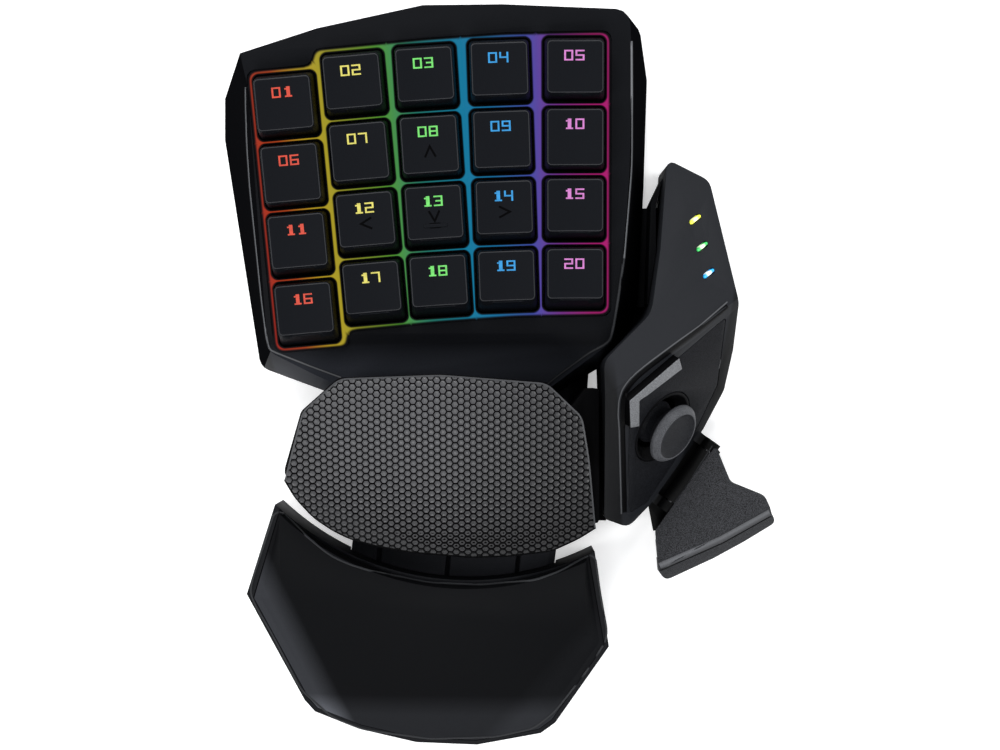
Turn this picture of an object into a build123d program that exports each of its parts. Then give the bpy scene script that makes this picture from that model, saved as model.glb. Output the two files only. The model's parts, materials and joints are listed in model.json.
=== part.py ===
from build123d import *
from math import cos, hypot, radians, sin, tan
import os

# Gaming keypad for the left hand: a key block on a sloped deck, a humped palm rest and a
# wrist rest that slide on one rail, and a thumb module on an arm that slides sideways.
# The origin is the middle of the footprint on the table. +Y points away from the user,
# +X to the right and +Z up. Lengths are millimetres, angles are degrees.

# Key block
key_pitch = 19.05
key_columns = 5
key_rows = 4
row_pitch_share = 0.99
column_x_shares = (-1.95, -0.985, -0.005, 1.0, 2.015)
column_y_shares = (-0.41, -0.105, -0.007, 0.067, 0.097)
column_lean_angles = (5.1, 5.0, 3.7, 2.0, 0.2)
well_width = 17.1
well_length = 17.8
well_corner = 1.2
well_rim = 1.4
deck_height = 36.0
deck_tilt_angle = 6.0
light_thickness = 1.4
light_drop = 0.3
switch_plate_depth = 7.4
switch_plate_thickness = 1.5
well_flange = 1.8
well_wall_share = 0.6
block_corner = 2.4

# Keycaps
cap_gap = 0.3
cap_skirt_height = 1.6
cap_wall = 1.3
cap_ceiling = 1.5
cap_top_width = 15.3
cap_top_lengths = (14.2, 15.3, 14.4, 13.7)
cap_top_heights = (8.4, 7.6, 7.2, 7.6)
cap_top_shifts = (0.5, 0.6, 1.2, 1.6)
cap_corner = 0.9
cap_dish_radius = 42.0
cap_dish_depth = 0.6
key_travel = 4.0

# Key switches and their board
switch_flange = 15.4
switch_flange_thickness = 1.0
switch_body = 13.8
switch_body_top = 10.8
switch_body_height = 5.6
switch_body_depth = 5.0
switch_wall = 1.2
slider_width = 6.6
slider_length = 5.3
slider_gap = 0.25
slider_shoulder = 1.0
slider_depth = 6.2
cross_length = 4.0
cross_thickness = 1.2
cross_gap = 0.05
cap_post_diameter = 5.6
cap_post_sides = 8
board_thickness = 1.6

# Main housing
seam_height = 12.0
case_ground_gap = 1.5
case_wall = 2.2
case_floor = 2.0
case_tuck = 3.0
cover_corner = 4.0
cover_corner_shares = (0, 0, 0, 1, 1, 1, 1, 0, 0, 0, 1, 0, 0, 0)
apron_start_share = 0.545
apron_slope_angle = 24.0
lip_height = 1.2
lip_thickness = 0.9
lip_gap = 0.15
post_diameter = 6.0
screw_diameter = 2.6
screw_head_diameter = 4.6
screw_head_height = 1.6
screw_bite = 8.0
boss_height = 14.0
foot_diameter = 12.0
foot_seat = 0.5
fit_gap = 0.15
running_gap = 0.4
overrun = 1.0
peg_sides = 8
turned_sides = 32
corner_steps = 3
level_gap = 0.0001
crease_shares = (
    (-0.548, 0.452), (-0.526, 0.330), (-0.519, 0.179), (-0.478, -0.600), (-0.277, -0.708),
    (0.329, -0.726), (0.515, -0.570), (0.537, -0.400), (0.560, 0.020), (0.567, 0.400),
    (0.558, 0.606), (0.199, 0.624), (-0.028, 0.621), (-0.328, 0.540))
skirt_shares = (
    (-0.590, 0.470), (-0.626, 0.332), (-0.626, 0.179), (-0.520, -0.664), (-0.329, -0.752),
    (0.350, -0.765), (0.550, -0.618), (0.600, -0.414), (0.617, 0.000), (0.627, 0.400),
    (0.604, 0.612), (0.203, 0.634), (-0.028, 0.632), (-0.340, 0.552))
case_post_shares = ((-0.540, 0.300), (-0.130, 0.560), (0.420, 0.555), (0.495, -0.590),
                    (-0.360, -0.640))
stack_post_shares = ((-1.43, 0.72), (-1.33, -1.3), (1.5, 1.1), (1.52, -0.9), (0.02, 0.0))
case_foot_shares = ((-0.490, 0.250), (0.470, 0.440), (-0.420, -0.540), (0.440, -0.500))

# Cable gland in the back wall of the bottom case, blind
gland_diameter = 6.4
gland_bore = 4.0
gland_flange = 8.0
gland_flange_thickness = 1.2
gland_reach = 5.0
gland_x_share = 0.1

# Rail that carries both rests
rail_width = 58.0
rail_thickness = 5.0
rail_tuck = 26.0
rail_rib = 1.2
rail_rib_height = 1.6
rail_rib_shares = (-0.36, -0.02, 0.32)
rail_chamfer = 2.0
rail_reach_share = 0.16
rest_turn_angle = 7.2

# Palm rest
palm_width = 84.4
palm_length = 49.2
palm_wall = 2.4
palm_pad_thickness = 3.0
palm_pad_inset = 1.3
palm_pad_proud = 0.3
palm_radius = 89.0
palm_crest_height = 53.5
palm_crest_share = 1.21
palm_overhang_share = 0.118
palm_split_height = 31.0
palm_flank = 1.0
palm_flank_corner = 0.8
palm_flank_height = 33.0
palm_flank_shares = ((0.88, -0.33), (1.00, -0.33), (1.00, 0.42), (0.955, 0.42), (0.88, 0.25))
palm_gap = 0.6
palm_foot_gap = 0.3
palm_travel = 5.0
palm_corner = 3.0
palm_rib_shares = (-0.22, 0.16)
palm_shares = (
    (-0.498, -0.050), (-0.384, -0.222), (-0.225, -0.375), (-0.085, -0.462), (0.063, -0.500),
    (0.192, -0.498), (0.340, -0.462), (0.500, -0.362), (0.476, 0.033), (0.452, 0.270),
    (0.338, 0.455), (0.004, 0.500), (-0.315, 0.480), (-0.434, 0.300))

# Wrist rest
wrist_width = 102.2
wrist_length = 63.0
wrist_wall = 2.4
wrist_front_height = 7.6
wrist_slope_angle = 15.5
wrist_rim = 1.2
wrist_pad_rise = 3.2
wrist_pad_seat = 1.2
wrist_pad_step = 0.4
wrist_travel = 20.0
wrist_gap = 8.6
wrist_offset_share = 0.012
rail_offset_share = 0.06
wrist_foot_diameter = 9.0
wrist_shares = (
    (-0.499, 0.100), (-0.310, -0.355), (-0.278, -0.402), (-0.150, -0.458), (0.012, -0.486),
    (0.180, -0.462), (0.352, -0.370), (0.388, -0.312), (0.505, 0.070), (0.430, 0.490))
wrist_inner_shares = (
    (-0.425, 0.150), (-0.250, -0.215), (-0.215, -0.262), (-0.105, -0.300), (0.010, -0.318),
    (0.125, -0.302), (0.285, -0.232), (0.322, -0.170), (0.442, 0.130), (0.424, 0.478))
wrist_tip_shares = (-0.446, 0.520)
wrist_hollow_share = 0.280
wrist_tip_share = 1.2
wrist_foot_shares = ((-0.385, 0.10), (0.420, 0.10), (0.03, -0.33))

# Thumb module
thumb_length = 102.0
thumb_block_gap = 2.96
thumb_crest_y_share = -0.728
thumb_crest_height_share = 0.4706
thumb_wall = 2.2
thumb_face_wall = 3.4
thumb_ground_gap = 1.5
thumb_floor = 2.0
thumb_travel = 10.0
thumb_foot_diameter = 8.0
thumb_foot_shares = ((0.075, -0.26), (0.240, 0.06), (0.195, 0.49))
panel_turn_angle = -33.5
panel_lean_angle = 56.0
wing_turn_angle = 9.6
wing_lean_angle = 30.9
thumb_shares = (
    (-0.028, -0.367), (0.044, -0.398), (0.106, -0.337), (0.256, -0.127), (0.313, -0.016),
    (0.331, 0.095), (0.337, 0.220), (0.254, 0.553), (0.135, 0.604), (0.114, 0.361),
    (0.088, 0.190), (-0.042, 0.062))
thumb_corners = (2.0, 3.0, 5.0, 5.0, 5.0, 5.0, 4.0, 4.0, 1.6, 5.0, 8.0, 5.0)
crest_u_share = 0.0235
crest_v_share = 0.310
panel_thickness = 1.4
panel_shares = (
    (0.345, 0.043), (0.165, 0.143), (0.018, 0.233), (-0.045, 0.160), (-0.216, -0.050),
    (-0.246, -0.114), (-0.196, -0.162), (0.060, -0.162), (0.183, -0.127))
panel_corner = 1.2
arm_thickness = 4.0
arm_reach = 26.0
arm_grip = 8.0
arm_tongue_shares = (-0.44, -0.07)
arm_top_height = 22.0
arm_end_share = 0.22

# Indicator windows in the wing
window_length = 4.2
window_width = 1.4
window_turn_angle = 33.0
window_shares = ((0.213, 0.445), (0.232, 0.372), (0.250, 0.300))
window_proud = 0.2
window_flange = 0.8
window_cut_share = 0.3

# Thumb stick
stick_socket_diameter = 21.8
stick_socket_wall = 1.6
stick_socket_depth = 11.0
stick_bowl_depth = 2.6
stick_knob_diameter = 17.5
stick_knob_thickness = 3.6
stick_knob_rise = 5.8
stick_knob_bevel = 1.3
stick_dome_radius = 7.4
stick_dome_wall = 1.0
stick_dome_gap = 0.3
stick_dome_angle = 35.0
stick_face_share = 0.72
stick_under_share = 0.80
stick_pivot_depth = 6.2
stick_neck_diameter = 5.0
stick_pin_diameter = 1.6
stick_swing_angle = 10.0
gimbal_diameter = 12.0
gimbal_wall = 2.0
gimbal_height = 2.6
pin_gap = 0.05

# Corner button beside the stick
button_shares = (
    (-0.053, 0.177), (-0.036, 0.142), (0.020, 0.216), (0.041, 0.198), (0.156, 0.121),
    (0.174, 0.165), (0.028, 0.245), (0.004, 0.258))
button_proud = 2.2
button_gap = 0.2
button_travel = 1.2
button_flange = 0.8
button_flange_thickness = 1.2
button_switch_width = 4.5
button_switch_share = (0.098, 0.165)
thumb_board_shares = ((-0.20, -0.11), (0.15, 0.24))

# Thumb paddle
paddle_thickness = 3.2
paddle_hinge_height = 6.4
paddle_hinge_offset = 4.2
paddle_slope_angle = 11.0
paddle_lip_slope_angle = 50.0
paddle_lip_depth = 7.0
paddle_lip_wall = 3.0
paddle_barrel_diameter = 5.0
paddle_pin_diameter = 2.0
paddle_pin_share = 0.46
paddle_lug_width = 3.0
paddle_side_gap = 0.3
paddle_swing_angle = 5.0
paddle_reach = 27.0
paddle_shares = (
    (0.432, 0.029), (0.206, 0.378), (0.295, 0.745), (0.186, 0.926), (0.140, 1.035), (-0.221, 0.886),
    (-0.555, 0.726), (-0.866, 0.549), (-1.042, 0.445), (-1.000, 0.318), (-0.675, 0.040))
paddle_corners = (1.0, 2.5, 3.0, 0.0, 1.5, 0.0, 0.0, 0.0, 2.0, 0.0, 1.0)
paddle_lip_shares = ((-0.995, 0.308), (0.186, 0.926))
hinge_tray_shares = (
    (-0.460, -0.195), (0.460, -0.195), (0.440, 0.020), (0.400, 0.140), (-0.600, 0.140), (-0.690, 0.045))


# Points and faces
def scaled(shares, width, length):
    return [(x * width, y * length) for x, y in shares]


def shifted(points, x, y):
    return [(px + x, py + y) for px, py in points]


def turned(point, angle):
    c, s = cos(radians(angle)), sin(radians(angle))
    return (point[0] * c - point[1] * s, point[0] * s + point[1] * c)


def inset(points, depth):
    # Moves each side of a counter-clockwise outline inwards by one depth.
    moved = []
    count = len(points)
    for i in range(count):
        (ax, ay), (bx, by), (cx, cy) = points[i - 1], points[i], points[(i + 1) % count]
        first = hypot(bx - ax, by - ay)
        second = hypot(cx - bx, cy - by)
        ux, uy = (bx - ax) / first, (by - ay) / first
        vx, vy = (cx - bx) / second, (cy - by) / second
        half = 1 + ux * vx + uy * vy
        moved.append((bx - depth * (uy + vy) / half, by + depth * (ux + vx) / half))
    return moved


def rounded(points, radii, steps=corner_steps):
    # Replaces each corner by a few short sides along the arc of its radius.
    count = len(points)
    if not isinstance(radii, (list, tuple)):
        radii = [radii] * count
    corners = []
    for i in range(count):
        before, here, after = Vector(*points[i - 1]), Vector(*points[i]), Vector(*points[(i + 1) % count])
        back, ahead = (before - here).normalized(), (after - here).normalized()
        turn = 180 - back.get_angle(ahead)
        reach = radii[i] * tan(radians(turn / 2))
        if reach < fit_gap:
            corners.append((here.X, here.Y))
            continue
        centre = here + (back + ahead).normalized() * (radii[i] / cos(radians(turn / 2)))
        start = here + back * reach - centre
        side = 1 if back.cross(ahead).Z < 0 else -1
        for step in range(steps + 1):
            x, y = turned((start.X, start.Y), side * turn * step / steps)
            corners.append((centre.X + x, centre.Y + y))
    return corners


def outline_face(points, radii=0):
    return make_face(Polyline(*rounded(points, radii), close=True))


def flat_loft(low_plane, low_points, high_plane, high_points):
    # A solid between two outlines of equal count. A side whose corners aren't level is two triangles.
    low = [low_plane.from_local_coords(Vector(x, y, 0)) for x, y in low_points]
    high = [high_plane.from_local_coords(Vector(x, y, 0)) for x, y in high_points]
    sides = [low, high]
    for i in range(len(low)):
        j = (i + 1) % len(low)
        a, b, c, d = low[i], low[j], high[j], high[i]
        twist = abs((c - a).dot((b - a).cross(d - a).normalized()))
        sides += [(a, b, c, d)] if twist < level_gap else [(a, b, c), (a, c, d)]
    return Solid(Shell([make_face(Polyline(*corners, close=True)) for corners in sides])).fix()


def cut_rectangle(width, length, cut=0, shift=0):
    # The corners of a rectangle, each cut straight where a cut is given.
    half_x, half_y = width / 2, length / 2
    if not cut:
        return [(half_x, shift - half_y), (half_x, shift + half_y), (-half_x, shift + half_y), (-half_x, shift - half_y)]
    return [(half_x, shift + cut - half_y), (half_x, shift + half_y - cut), (half_x - cut, shift + half_y),
            (cut - half_x, shift + half_y), (-half_x, shift + half_y - cut), (-half_x, shift + cut - half_y),
            (cut - half_x, shift - half_y), (half_x - cut, shift - half_y)]


def cut_face(width, length, cut):
    return make_face(Polyline(*cut_rectangle(width, length, cut), close=True))


def prism(plane, points, radii, bottom, top):
    face = plane.offset(bottom) * outline_face(points, radii)
    return extrude(face, top - bottom, dir=plane.z_dir)


def cylinder_on(plane, x, y, diameter, bottom, top):
    face = plane.offset(bottom) * (Pos(x, y) * Circle(diameter / 2))
    return extrude(face, top - bottom, dir=plane.z_dir)


def peg_on(plane, x, y, diameter, bottom, top):
    # Screws, posts, feet and their holes are many-sided, and those of one axis lie side to side.
    face = plane.offset(bottom) * (Pos(x, y) * RegularPolygon(diameter / 2, peg_sides))
    return extrude(face, top - bottom, dir=plane.z_dir)


def ring_point(plane, radius, height, step):
    angle = radians(360 * step / turned_sides)
    return plane.from_local_coords(Vector(radius * cos(angle), radius * sin(angle), height))


def turned_body(plane, profile):
    # A turned body with flat sides, from (radius, height) points that run round half its section.
    faces = []
    for i, (radius, height) in enumerate(profile):
        next_radius, next_height = profile[(i + 1) % len(profile)]
        if not radius and not next_radius:
            continue
        for step in range(turned_sides):
            corners = [ring_point(plane, radius, height, step)]
            if radius:
                corners.append(ring_point(plane, radius, height, step + 1))
            if next_radius:
                corners.append(ring_point(plane, next_radius, next_height, step + 1))
            corners.append(ring_point(plane, next_radius, next_height, step))
            faces.append(make_face(Polyline(*corners, close=True)))
    return Solid(Shell(faces)).fix()


def disc_on(plane, diameter, bottom, top):
    # A many-sided disc whose corners lie over those of the turned bodies on the same axis.
    face = plane.offset(bottom) * RegularPolygon(diameter / 2, turned_sides)
    return extrude(face, top - bottom, dir=plane.z_dir)


def box_on(plane, x_range, y_range, z_range):
    size = [high - low for low, high in (x_range, y_range, z_range)]
    middle = [(high + low) / 2 for low, high in (x_range, y_range, z_range)]
    return plane.location * Pos(*middle) * Box(*size)


def above(plane, reach):
    # Everything within reach on the upper side of a plane.
    return box_on(plane, (-reach, reach), (-reach, reach), (0, reach))


# Places of the modules
block_width = key_columns * key_pitch
block_length = key_rows * key_pitch
row_pitch = key_pitch * row_pitch_share
block_x = -0.185 * block_width
block_y = 0.728 * block_length
whole = 3 * block_width
table = Plane.XY
deck = Plane(origin=(block_x, block_y, deck_height), x_dir=(1, 0, 0),
             z_dir=(0, -sin(radians(deck_tilt_angle)), cos(radians(deck_tilt_angle))))
plate_top = -switch_plate_depth
board_top = plate_top - switch_body_depth

arm_wall_x = block_x + skirt_shares[8][0] * block_width
thumb_crest_height = thumb_crest_height_share * thumb_length
thumb_crest = Vector(arm_wall_x + thumb_block_gap - thumb_shares[9][0] * thumb_length,
                     block_y + thumb_crest_y_share * block_length, thumb_crest_height)


def leaning(turn, lean):
    return Vector(cos(radians(turn)) * sin(radians(lean)), sin(radians(turn)) * sin(radians(lean)),
                  cos(radians(lean)))


panel_normal = leaning(panel_turn_angle, panel_lean_angle)
panel_level = Vector(-sin(radians(panel_turn_angle)), cos(radians(panel_turn_angle)), 0)
panel_crest = Plane(origin=thumb_crest, x_dir=panel_level, z_dir=panel_normal)
stick_centre = panel_crest.from_local_coords(
    Vector(-crest_u_share * thumb_length, -crest_v_share * thumb_length, 0))
panel = Plane(origin=stick_centre, x_dir=panel_level, z_dir=panel_normal)
wing = Plane(origin=thumb_crest, x_dir=Vector(-sin(radians(wing_turn_angle)), cos(radians(wing_turn_angle)), 0),
             z_dir=leaning(wing_turn_angle, wing_lean_angle))
thumb_points = shifted(scaled(thumb_shares, thumb_length, thumb_length), thumb_crest.X, thumb_crest.Y)
thumb_left = min(x for x, y in thumb_points)

cover_front = block_y + min(y for x, y in scaled(skirt_shares, block_width, block_length))
palm_x = thumb_left - palm_gap - palm_flank - palm_width / 2
palm_y = cover_front + palm_length * (palm_overhang_share - 0.5)
palm_points = shifted(scaled(palm_shares, palm_width, palm_length), palm_x, palm_y)
rest_frame = Plane(origin=(palm_x, palm_y, 0), x_dir=(cos(radians(rest_turn_angle)), -sin(radians(rest_turn_angle)), 0),
                   z_dir=(0, 0, 1))
palm_front_local = min(rest_frame.to_local_coords(Vector(x, y, 0)).Y for x, y in palm_points)
wrist_hollow = wrist_hollow_share * wrist_length
wrist_y = palm_front_local - wrist_gap - wrist_hollow
wrist_frame = Plane(origin=rest_frame.from_local_coords(Vector(wrist_offset_share * wrist_width, wrist_y, 0)),
                    x_dir=rest_frame.x_dir, z_dir=(0, 0, 1))


def column_place(column, row):
    lean = column_lean_angles[column]
    along = ((key_rows - 1) / 2 - row) * row_pitch
    x = column_x_shares[column] * key_pitch - along * sin(radians(lean))
    y = column_y_shares[column] * key_pitch + along * cos(radians(lean))
    return Location((x, y, 0), (0, 0, lean))


def column_edge(column, across, end, rim):
    # A point on the edge round one column: across from -1 to 1, end -1 front or 1 back.
    lean = column_lean_angles[column]
    half_width = well_width / 2 + rim
    half_length = (key_rows - 1) / 2 * row_pitch + well_length / 2 + rim
    x, y = turned((across * half_width, end * half_length), lean)
    return (column_x_shares[column] * key_pitch + x, column_y_shares[column] * key_pitch + y)


block_edge_shares = (
    (4, 1, 1), (3, 0.2, 1), (2, 0, 1), (1, -1, 1), (0, 0.74, 1), (0, -1, 1),
    (0, -1, -1), (0, 1, -1), (1, -0.78, -1), (2, 0, -1), (3, 0.2, -1), (4, 1, -1))


def block_outline(rim):
    return [column_edge(column, across, end, rim) for column, across, end in block_edge_shares]


def wells(width, length, corner, bottom, top):
    face = cut_face(width, length, corner) if corner else Rectangle(width, length)
    holes = [column_place(c, r) * face for c in range(key_columns) for r in range(key_rows)]
    return [extrude(deck.offset(bottom) * hole, top - bottom, dir=deck.z_dir) for hole in holes]


# Main housing
crease_points = scaled(crease_shares, block_width, block_length)
skirt_points = shifted(scaled(skirt_shares, block_width, block_length), block_x, block_y)
cover_radii = [share * cover_corner for share in cover_corner_shares]


def side_radii(depth):
    return [max(radius - depth, 0) if radius else 0 for radius in cover_radii]


def cover_form(depth):
    # The outside of the cover, or the same form inset by one wall.
    radii = side_radii(depth)
    form = flat_loft(table.offset(seam_height), rounded(inset(skirt_points, depth), radii),
                     deck.offset(-depth), rounded(inset(crease_points, depth), radii))
    apron = Plane(origin=deck.from_local_coords(Vector(0, -apron_start_share * block_length, -depth)),
                  x_dir=(1, 0, 0),
                  z_dir=(0, -sin(radians(deck_tilt_angle + apron_slope_angle)), cos(radians(deck_tilt_angle + apron_slope_angle))))
    return form - above(apron, whole)


def case_form(depth, bottom):
    radii = side_radii(depth)
    return flat_loft(table.offset(bottom), rounded(inset(skirt_points, case_tuck + depth), radii),
                     table.offset(seam_height), rounded(inset(skirt_points, depth), radii))


case_post_places = shifted(scaled(case_post_shares, block_width, block_length), block_x, block_y)
foot_places = shifted(scaled(case_foot_shares, block_width, block_length), block_x, block_y)
stack_post_places = scaled(stack_post_shares, key_pitch, row_pitch)
stack_bottom = deck.offset(board_top - board_thickness)
floor_top = case_ground_gap + case_floor
gland_x = block_x + gland_x_share * block_width
gland_height = (floor_top + seam_height) / 2
gland_y = (block_y + skirt_shares[12][1] * block_length -
           case_tuck * (seam_height - gland_height) / (seam_height - case_ground_gap))
gland_axis = Plane(origin=(gland_x, gland_y, gland_height), x_dir=(1, 0, 0), z_dir=(0, 1, 0))
tongue_y = [block_y + share * block_length for share in arm_tongue_shares]
tongue_bottom = floor_top + running_gap
tongue_top = tongue_bottom + arm_thickness
rail_back = rest_frame.to_local_coords(Vector(block_x, cover_front, 0)).Y + rail_tuck
rail_front = wrist_y - wrist_length * rail_reach_share
rail_x = (rail_offset_share * wrist_width - rail_width / 2, rail_offset_share * wrist_width + rail_width / 2)
rail_bottom = floor_top
rail_top = rail_bottom + rail_thickness


def make_top_cover():
    cover = cover_form(0) - cover_form(case_wall)
    for x, y in case_post_places:
        boss = peg_on(table, x, y, post_diameter, seam_height, seam_height + boss_height)
        cover += boss & cover_form(case_wall / 2)
    cover -= prism(deck, block_outline(well_rim + fit_gap), block_corner, -case_wall - overrun, overrun)
    cover -= stack_part(fit_gap, board_top - board_thickness - overrun, -case_wall)
    for x, y in case_post_places:
        cover -= peg_on(table, x, y, screw_diameter, seam_height - overrun, seam_height + screw_bite)
    return cover


def stack_part(gap, bottom, top):
    # A layer under the deck, as wide as the flange of the well frame and the cover's walls let it be.
    layer = prism(deck, block_outline(well_rim + well_flange + gap), 0, bottom, top)
    return layer & cover_form(case_wall * well_wall_share + fit_gap - gap)


def make_bottom_case():
    case = case_form(0, case_ground_gap) - case_form(case_wall, floor_top)
    ring_outer = inset(skirt_points, case_wall + lip_gap)
    ring_inner = inset(skirt_points, case_wall + lip_gap + lip_thickness)
    lip = prism(table, ring_outer, 0, seam_height - 2 * lip_height, seam_height + lip_height)
    lip -= prism(table, ring_inner, 0, seam_height - 3 * lip_height, seam_height + 2 * lip_height)
    low_cover = cover_form(case_wall + lip_gap)
    lip = (lip & low_cover) + (lip & case_form(case_wall / 2, case_ground_gap))
    for x, y in case_post_places:
        lip -= peg_on(table, x, y, post_diameter + 2 * fit_gap, seam_height, seam_height + 2 * lip_height)
    case += lip
    for x, y in case_post_places:
        post = peg_on(table, x, y, post_diameter, floor_top - overrun / 2, seam_height)
        case += post & case_form(case_wall / 2, case_ground_gap)
    for x, y in stack_post_places:
        foot = deck.from_local_coords(Vector(x, y, board_top - board_thickness))
        post = peg_on(table, foot.X, foot.Y, post_diameter, floor_top - overrun / 2, deck_height)
        case += post - above(stack_bottom, whole)
    for low, high in ((tongue_y[0] - running_gap - case_wall, tongue_y[0] - running_gap),
                      (tongue_y[1] + running_gap, tongue_y[1] + running_gap + case_wall)):
        case += box_on(table, (arm_wall_x - arm_reach, arm_wall_x - 2 * case_tuck), (low, high),
                       (floor_top - overrun / 2, tongue_top))
    case -= box_on(table, (arm_wall_x - 3 * case_tuck, arm_wall_x + 2 * case_tuck),
                   (tongue_y[0] - running_gap, tongue_y[1] + running_gap),
                   (floor_top, tongue_top + running_gap))
    case -= box_on(rest_frame, (rail_x[0] - fit_gap, rail_x[1] + fit_gap),
                   (rail_back - rail_tuck - 3 * case_tuck, rail_back + fit_gap),
                   (rail_bottom, rail_top + rail_rib_height + fit_gap))
    for x, y in case_post_places:
        case -= peg_on(table, x, y, screw_diameter, -overrun, seam_height + overrun)
        case -= peg_on(table, x, y, screw_head_diameter, -overrun, case_ground_gap + screw_head_height)
    for x, y in foot_places:
        case -= peg_on(table, x, y, foot_diameter + 2 * fit_gap, -overrun, case_ground_gap + foot_seat)
    for x in rail_screw_places():
        spot = rest_frame.from_local_coords(Vector(x, rail_screw_y, 0))
        case -= peg_on(table, spot.X, spot.Y, screw_diameter, -overrun, floor_top + overrun)
        case -= peg_on(table, spot.X, spot.Y, screw_head_diameter, -overrun,
                       case_ground_gap + screw_head_height / 2)
    case -= peg_on(gland_axis, 0, 0, gland_diameter + 2 * fit_gap, -4 * case_wall, 2 * case_wall)
    return case


rail_screw_y = rail_back - rail_tuck / 4


def rail_screw_places():
    return (rail_x[0] + rail_width / 5, rail_x[1] - rail_width / 5)


def screw(x, y, head_bottom, tip, plane=table):
    head = peg_on(plane, x, y, screw_head_diameter - 2 * fit_gap, head_bottom,
                       head_bottom + screw_head_height / 2)
    shank = peg_on(plane, x, y, screw_diameter, head_bottom + screw_head_height / 2, tip)
    return head + shank


def make_case_screws():
    head = case_ground_gap + screw_head_height / 2
    return [screw(x, y, head, seam_height + screw_bite - overrun) for x, y in case_post_places]


def make_rail_screws():
    spots = [rest_frame.from_local_coords(Vector(x, rail_screw_y, 0)) for x in rail_screw_places()]
    return [screw(spot.X, spot.Y, case_ground_gap, rail_top - overrun) for spot in spots]


def make_rubber_feet():
    return [peg_on(table, x, y, foot_diameter, 0, case_ground_gap + foot_seat) for x, y in foot_places]


def make_cable_gland():
    gland = peg_on(gland_axis, 0, 0, gland_diameter, -gland_reach, gland_flange_thickness / 4)
    gland += peg_on(gland_axis, 0, 0, gland_flange, -gland_reach - gland_flange_thickness, -gland_reach)
    gland -= peg_on(gland_axis, 0, 0, gland_bore, -gland_reach, overrun)
    return gland


# Key block
def make_light_guide():
    guide = prism(deck, block_outline(well_rim), block_corner, -light_drop - light_thickness, -light_drop)
    for hole in wells(well_width, well_length, well_corner, -2 * light_thickness, overrun):
        guide -= hole
    return guide


def make_key_well_frame():
    top = -light_drop - light_thickness
    frame = prism(deck, block_outline(well_rim), block_corner, plate_top, top)
    frame &= cover_form(case_wall + fit_gap) + above(deck.offset(-case_wall), whole)
    frame += stack_part(0, plate_top, -case_wall)
    for hole in wells(well_width, well_length, well_corner, plate_top - overrun, overrun):
        frame -= hole
    return frame


def make_switch_plate():
    plate = stack_part(0, plate_top - switch_plate_thickness, plate_top)
    size = switch_body + 2 * cross_gap
    for hole in wells(size, size, 0, plate_top - switch_plate_thickness - overrun, plate_top + overrun):
        plate -= hole
    return plate


def make_circuit_board():
    return stack_part(0, board_top - board_thickness, board_top)


def make_switch_housings():
    housings = []
    low = deck.offset(plate_top + switch_flange_thickness)
    high = deck.offset(plate_top + switch_body_height)
    slot = (slider_width + 2 * slider_gap, slider_length + 2 * slider_gap)
    for column in range(key_columns):
        for row in range(key_rows):
            place = column_place(column, row)
            flange = extrude(deck.offset(plate_top) * (place * Rectangle(switch_flange, switch_flange)),
                             switch_flange_thickness, dir=deck.z_dir)
            body = extrude(deck.offset(board_top) * (place * Rectangle(switch_body, switch_body)),
                           plate_top - board_top, dir=deck.z_dir)
            tower = flat_loft(Plane(low * place), cut_rectangle(switch_body, switch_body),
                              Plane(high * place), cut_rectangle(switch_body_top, switch_body_top))
            hole = extrude(deck.offset(board_top + switch_wall) * (place * Rectangle(*slot)),
                           switch_body_height + switch_body_depth, dir=deck.z_dir)
            housings.append(flange + body + tower - hole)
    return housings


def make_keycap(column, row):
    place = column_place(column, row)
    skirt = -cap_skirt_height
    top = cap_top_heights[row]
    base_size = (well_width - 2 * cap_gap, well_length - 2 * cap_gap)
    top_size = (cap_top_width, cap_top_lengths[row])
    shift = cap_top_shifts[row]
    low = Plane(deck.offset(skirt) * place)
    outer = flat_loft(low, cut_rectangle(*base_size, cap_corner),
                      Plane(deck.offset(top) * place), cut_rectangle(*top_size, cap_corner, shift))
    base_room = [size - 2 * cap_wall for size in base_size]
    top_room = [size - 2 * cap_wall for size in top_size]
    cavity = flat_loft(low, cut_rectangle(*base_room),
                       Plane(deck.offset(top - cap_ceiling) * place), cut_rectangle(*top_room, 0, shift))
    dish_spot = deck.location * place * Pos(0, cap_top_shifts[row], top + cap_dish_radius - cap_dish_depth)
    dish = dish_spot * Rot(90, 0, 0) * Cylinder(cap_dish_radius, 2 * key_pitch)
    shoulder = plate_top + switch_body_height + slider_shoulder
    post = extrude(deck.offset(shoulder) * (place * RegularPolygon(cap_post_diameter / 2, cap_post_sides)),
                   top - cap_ceiling / 2 - shoulder, dir=deck.z_dir)
    cross_top = top - cap_ceiling
    cap = outer - cavity + (post & outer) - dish
    slit = extrude(deck.offset(shoulder - overrun) *
                   (place * Rectangle(cross_length + 2 * cross_gap, cross_thickness + 2 * cross_gap)),
                   cross_top - shoulder, dir=deck.z_dir)
    cap -= slit
    slider = extrude(deck.offset(shoulder - slider_depth) * (place * Rectangle(slider_width, slider_length)),
                     slider_depth, dir=deck.z_dir)
    slider += extrude(deck.offset(shoulder) * (place * Rectangle(cross_length, cross_thickness)),
                      cross_top - shoulder - overrun - cross_gap, dir=deck.z_dir)
    return [cap, slider]


# Rests
palm_axis_y = palm_y + (palm_crest_share - 0.5) * palm_length
palm_axis_z = palm_crest_height - palm_radius


def barrel(depth):
    axis = Plane(origin=(palm_x, palm_axis_y, palm_axis_z), x_dir=(0, 1, 0), z_dir=(1, 0, 0))
    return cylinder_on(axis, 0, 0, 2 * (palm_radius - depth), -palm_width, palm_width)


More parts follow.
